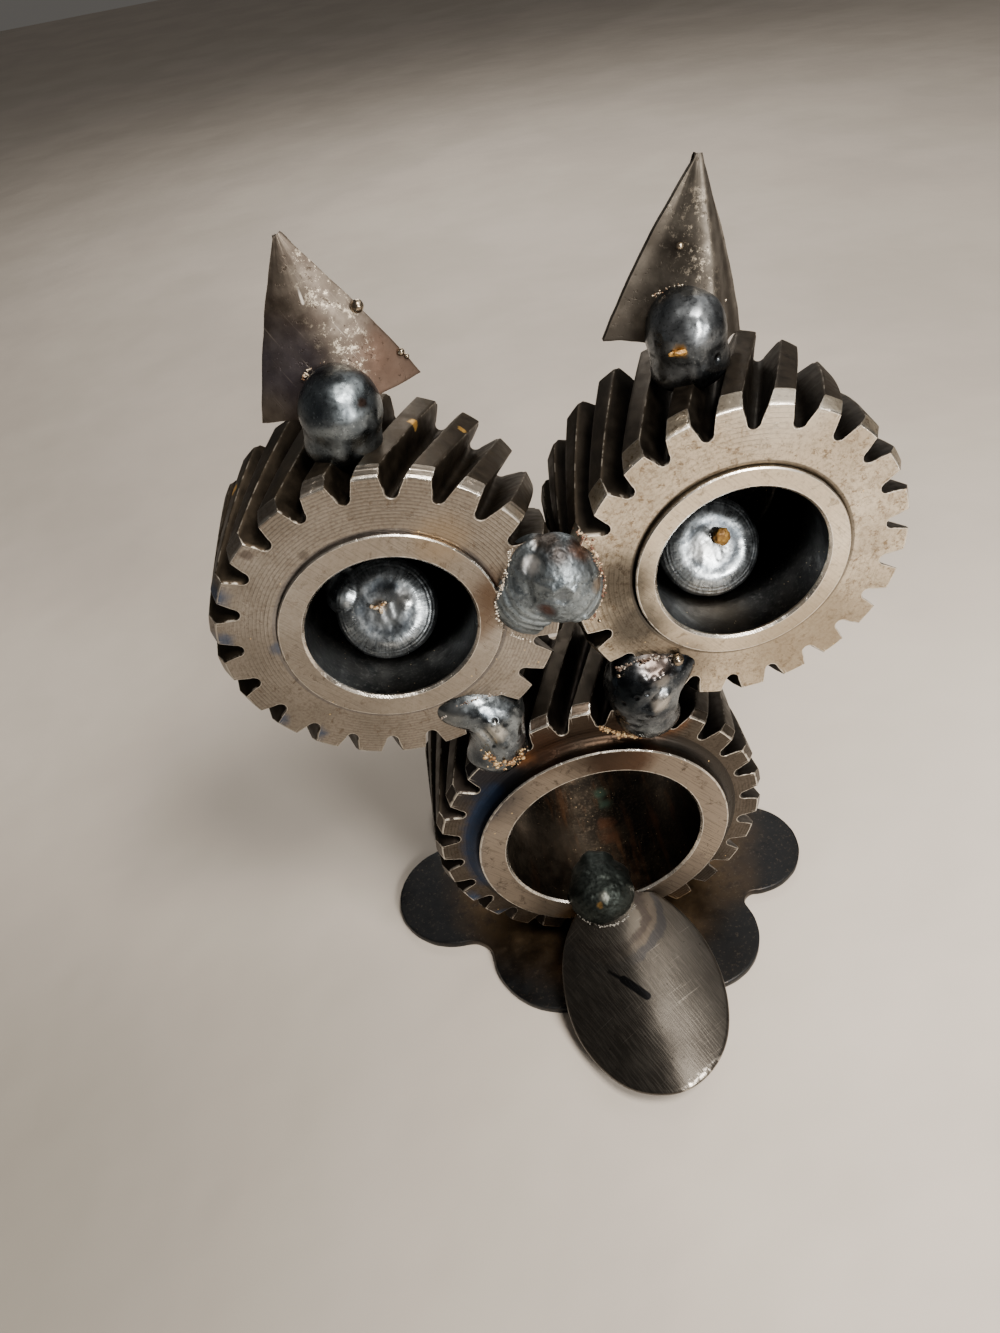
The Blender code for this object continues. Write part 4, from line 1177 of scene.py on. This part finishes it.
def tongue_weld():
    form = Melt((-1.4, -21.5, 25.5))
    form.blob((-1.4, -21.2, 24.2), (9.4, 9, 7.7))
    form.blob((-1.2, -17.4, 25.8), (6.6, 5.4, 5.2), blend=3)
    for at, size in (((-5.4, -14.2, 26.4), 2.6), ((-2.4, -12.4, 28), 2.9), ((1.4, -13, 28.2), 2.6),
                     ((5, -16.6, 26), 2.2)):
        form.blob(at, (size, size, size * 0.9), blend=2.2)
    form.ripples((-1.4, -34, 22), 1.7, 0.05, 5, 14)
    form.fold((-1.4, -30.4, 29.6), (-0.6, -25.6, 31.8), 1.2, 0.4)
    look = weld_look(form, "tongue_weld_metal", (0.036, 0.043, 0.04), (0.02, 0.024, 0.022), (
        # painted highlight: grey sheen on the top
        ((-1.6, -28.6, 31.6), 0.4, 2.2, (0.15, 0.155, 0.14), 0.7),
        ((-3.4, -30.4, 29.4), 0.3, 1.3, OCHRE, 0.5)), gloss=0.44, wrinkle=0.04)
    form.build("owl_tongue_weld", "tongue_weld", look, ((0.25, 0.3), (0.7, 0.12)), seed=6)
    rim = ((-9.4, -25.2, 22.7), (-7.2, -28.4, 22.1), (-3.5, -30.5, 21.6), (0.4, -30.8, 21.5),
           (4.4, -29.3, 21.9), (7.2, -26.4, 22.4))
    slag("owl_tongue_rim_slag", "tongue_rim_slag", ((0.1, 0.09, 0.08), (0.42, 0.4, 0.36)),
         along(rim, 110, 0.2, 0.16, 11))


def pupils():
    """Weld dishes that lean back in the corner of each bore, with slag in the middle."""
    lean = 34
    up = (0, sin(radians(lean)), cos(radians(lean)))
    for side, x, z, seed, folds, marks in PUPILS:
        form = Melt((x, 2, z - 1.8))
        form.blob((x, 4.6, z - 3), (9.4, 8, 8.2))
        form.blob((x, 0, z), (12.2, 4.2, 12), nod=-lean, blend=1.6)
        if side == "left":
            form.blob((-50.2, 5, 126), (4.6, 6.4, 5.4), 30, blend=0.6)
        face = Vector((x, -3.5, z + 2.35))

        def on_face(at):
            return face + Vector((1, 0, 0)) * at[0] + Vector(up) * at[1]

        form.ripples(face, 0.9, 0.05, 9.6, 12.6)
        form.pit(face, 6.2, 0.7, 0.25)
        for start, end, width, height in folds:
            form.fold(on_face(start), on_face(end), width, height)
        spots = [(face, 5.6, 7.4, (0.05, 0.06, 0.075), 0.75), (face, 2.6, 5.6, (0.5, 0.54, 0.57), 0.9)]
        # the marks include a painted highlight
        spots += [(on_face(at), 0.4, reach, colour, 0.7) for at, reach, colour in marks]
        look = weld_look(form, side + "_pupil_metal", (0.52, 0.57, 0.61), (0.2, 0.235, 0.27), spots,
                         wrinkle=0.015, frozen=(face, up, 7.8, 11.2, 17, 0.12))
        form.build("owl_" + side + "_pupil", side + "_pupil", look, ((0.3, 0.1),), seed=seed, detail=7)
    bits = (((-42.9, -4, 125.6), (0.8, 0.5, 0.5)), ((-41.2, -3.9, 126), (0.6, 0.4, 0.4)),
            ((-42, -4.2, 124.7), (0.5, 0.5, 1)), ((-43.9, -3.7, 125.9), (0.5, 0.4, 0.6)),
            ((-40.6, -3.9, 126.4), (0.4, 0.3, 0.4)))
    slag("owl_pupil_slag", "pupil_slag", ((0.5, 0.28, 0.12), (0.8, 0.68, 0.5)), bits, rough=0.3)


def base_weld():
    form = Melt((1.4, 20, 4))
    form.blob((1.4, 20, 2.4), (15.6, 7.8, 7))
    form.ripples((1.4, 20, -6), 2, 0.1, 3, 30)
    look = weld_look(form, "base_weld_metal", (0.16, 0.17, 0.19), (0.05, 0.055, 0.065))
    form.build("owl_base_weld", "base_weld", look, ((0.2, 0.3), (0.6, 0.15)), seed=9, floor=2.7)


def spatter():
    """Balls of spatter that stuck to the sheets, the gears and the cheek."""
    look = weld_look(None, "spatter_metal", (0.5, 0.42, 0.32), (0.2, 0.16, 0.12), gloss=0.2, wrinkle=0.01)
    balls = (
        ((-30.9, 0.6, 193.1), 1.3), ((-24.6, 0.8, 182.4), 0.8), ((-23.6, 1, 181.2), 0.5),
        ((33, 1.9, 191.8), 0.75), ((23.3, -21.6, 106.6), 1.5), ((17.8, -22.6, 85.8), 1.2),
        ((9.2, -22.6, 106.2), 0.5), ((20.2, -20, 84.6), 0.6), ((6.4, -20.4, 121.6), 0.45),
        ((27, -20.6, 103.2), 0.5))
    lumps("owl_spatter", look, balls, rough=0.05, detail=4)


def ear_look(name, dark, light, ridge, soft, rust, patches=(), scratch=None):
    """Worn sheet steel: bright specks along its ridge, stained patches and dark pits; with a scratch, a
    faint painted sheen along the ridge too.
    """
    look = Look(name)
    look.start(look.noise(110, 5, 0.6), 0.35, 0.68, dark, light)
    ridge = look.stroke(*ridge, 1, soft)
    if scratch:
        # painted sheen along the ridge
        look.tint(ridge, (0.26, 0.225, 0.19), 0.12)
    look.stain(patches, 4, 120)
    speckle = look.fade(look.noise(480, 9, 0.85), 0.54, 0.6)
    look.tint(ridge, (0.7, 0.62, 0.5), look.times(speckle, 0.85))
    if scratch:
        fine = look.grain((0.5, 0, -0.86), (0.86, 0, 0.5), 1800, 60)
        look.tint(look.fade(fine, 0.66, 0.74), (0.5, 0.45, 0.4), 0.45)
        look.tint(look.stroke(*scratch, 0.1, 0.3), (0.7, 0.66, 0.6))
    pits = look.fade(look.noise(900, 4, 0.7), 0.6, 0.7)
    look.tint(pits, rust, 0.6)
    look.satin(look.noise(300, 5), 0.46, 0.62)
    look.bump(look.noise(600, 5, 0.6), 0.03)
    look.bump(look.times(pits, -1), 0.04)
    return look.done()


def ears():
    look = ear_look("left_ear_sheet", (0.08, 0.063, 0.052), (0.185, 0.158, 0.132),
                    ((-36.6, 0.4, 202), (-34.6, -2.1, 185)), 6.5, (0.05, 0.035, 0.025),
                    (((-48, 1, 184), 3, 12, (0.075, 0.07, 0.10), 0.6),
                     ((-27, 0, 178), 4, 16, (0.085, 0.052, 0.038), 0.8)),
                    ((-41, -0.5, 200.4), (-40.7, -0.6, 196)))
    ear_sheet("owl_left_ear", "left_ear", look, (LEFT_EYE[0] + 0.4, 2.1, LEFT_EYE[2] + EYE_TIP + 5.9),
              half=16.9, height=33.5, lean=0.2, slope=radians(6.8), arch=4.9,
              ridge=0.05, power=1, fullness=0.2)
    look = ear_look("right_ear_sheet", (0.075, 0.066, 0.056), (0.17, 0.152, 0.13),
                    ((33.5, 2, 204), (36, 1, 184)), 5, (0.05, 0.04, 0.03))
    ear_sheet("owl_right_ear", "right_ear", look, (RIGHT_EYE[0] - 7.3, 5.8, RIGHT_EYE[2] + EYE_TIP + 4.1),
              half=14.8, height=35, lean=1.5, slope=radians(-8), arch=8.8,
              ridge=0.42, power=3, fullness=0.3)


def tongue():
    look = Look("tongue_sheet")
    look.start(look.noise(100, 4, 0.5), 0.35, 0.68, (0.074, 0.067, 0.059), (0.094, 0.086, 0.076))
    brushed = look.fade(look.grain((0.45, -0.86, -0.24), (0.89, 0.43, 0.1), 2600, 160), 0.4, 0.65)
    look.tint(brushed, (0.165, 0.15, 0.13), 0.2)
    scratches = look.fade(look.grain((0.89, 0.43, 0.1), (-0.45, 0.86, 0.24), 1800, 60), 0.64, 0.72)
    look.tint(scratches, (0.35, 0.32, 0.28), 0.3)
    far = look.math("ADD", look.away((-1.4, -26.5, 21)), look.times(look.noise(130, 3), 7))
    far = look.math("SUBTRACT", far, 2.5)
    side = look.fade(look.vector("DOT_PRODUCT", look.place, (1 / MM, 0, 0)), 0, 8, 0.25, 1)
    for low, high, colour, weight in ((8, 10.2, (0.19, 0.17, 0.14), 0.4),
                                      (10.8, 12.4, (0.045, 0.034, 0.03), 0.6),
                                      (13, 14, (0.13, 0.105, 0.08), 0.4),
                                      (14.8, 16.6, (0.04, 0.042, 0.05), 0.55)):
        look.tint(look.times(look.band(far, low, high, 1), side), colour, weight)
    pits = look.fade(look.cells(300), 0.05, 0.1, 1, 0)
    look.tint(pits, (0.03, 0.027, 0.024), 0.6)
    look.tint(look.stroke((-4.4, -41.8, 16.8), (0.5, -46.6, 16.4), 0.2, 0.7), NEAR_BLACK)
    look.tint(look.stroke((-1, -45, 16.6), (4.1, -50.6, 15.6), 0.9, 0.4), NEAR_BLACK)
    # bright lower-right rim: wear, and a painted highlight for the glint off the rounded rim
    wear_and_glint = look.stroke((8, -73.9, 8.7), (20, -68.2, 8.9), 0.3, 1)
    wear_and_glint = look.times(wear_and_glint, look.fade(look.noise(700, 4), 0.42, 0.58))
    look.tint(wear_and_glint, (0.6, 0.56, 0.5))
    look.rough(look.math("ADD", 0.33, look.times(brushed, 0.08)))
    look.bump(look.noise(1100, 4, 0.6), 0.01)
    look.bump(brushed, 0.012)
    tongue_sheet("owl_tongue", "tongue", look.done())


def foot():
    look = Look("foot_plate")
    away = look.away((*PLATE_CENTRE, PLATE_THICK))
    away = look.math("ADD", away, look.times(look.noise(40, 4), 22))
    look.start(away, 46, 66, (0.12, 0.078, 0.042), (0.03, 0.031, 0.033))
    look.tint(look.fade(look.noise(240, 5, 0.65), 0.5, 0.7, 0, 0.5), (0.02, 0.022, 0.026))
    look.tint(look.fade(look.noise(1100, 4, 0.7), 0.55, 0.72, 0, 0.5), (0.15, 0.12, 0.09))
    look.satin(look.noise(150, 5), 0.36, 0.55)
    look.bump(look.noise(700, 5, 0.6), 0.04)
    foot_plate("owl_foot", "base_plate", look.done())


set_stage()
for make in (left_eye, right_eye, mouth, brow_weld, ear_welds, cheek_welds, tongue_weld, pupils, base_weld,
             spatter, ears, tongue, foot):
    make()
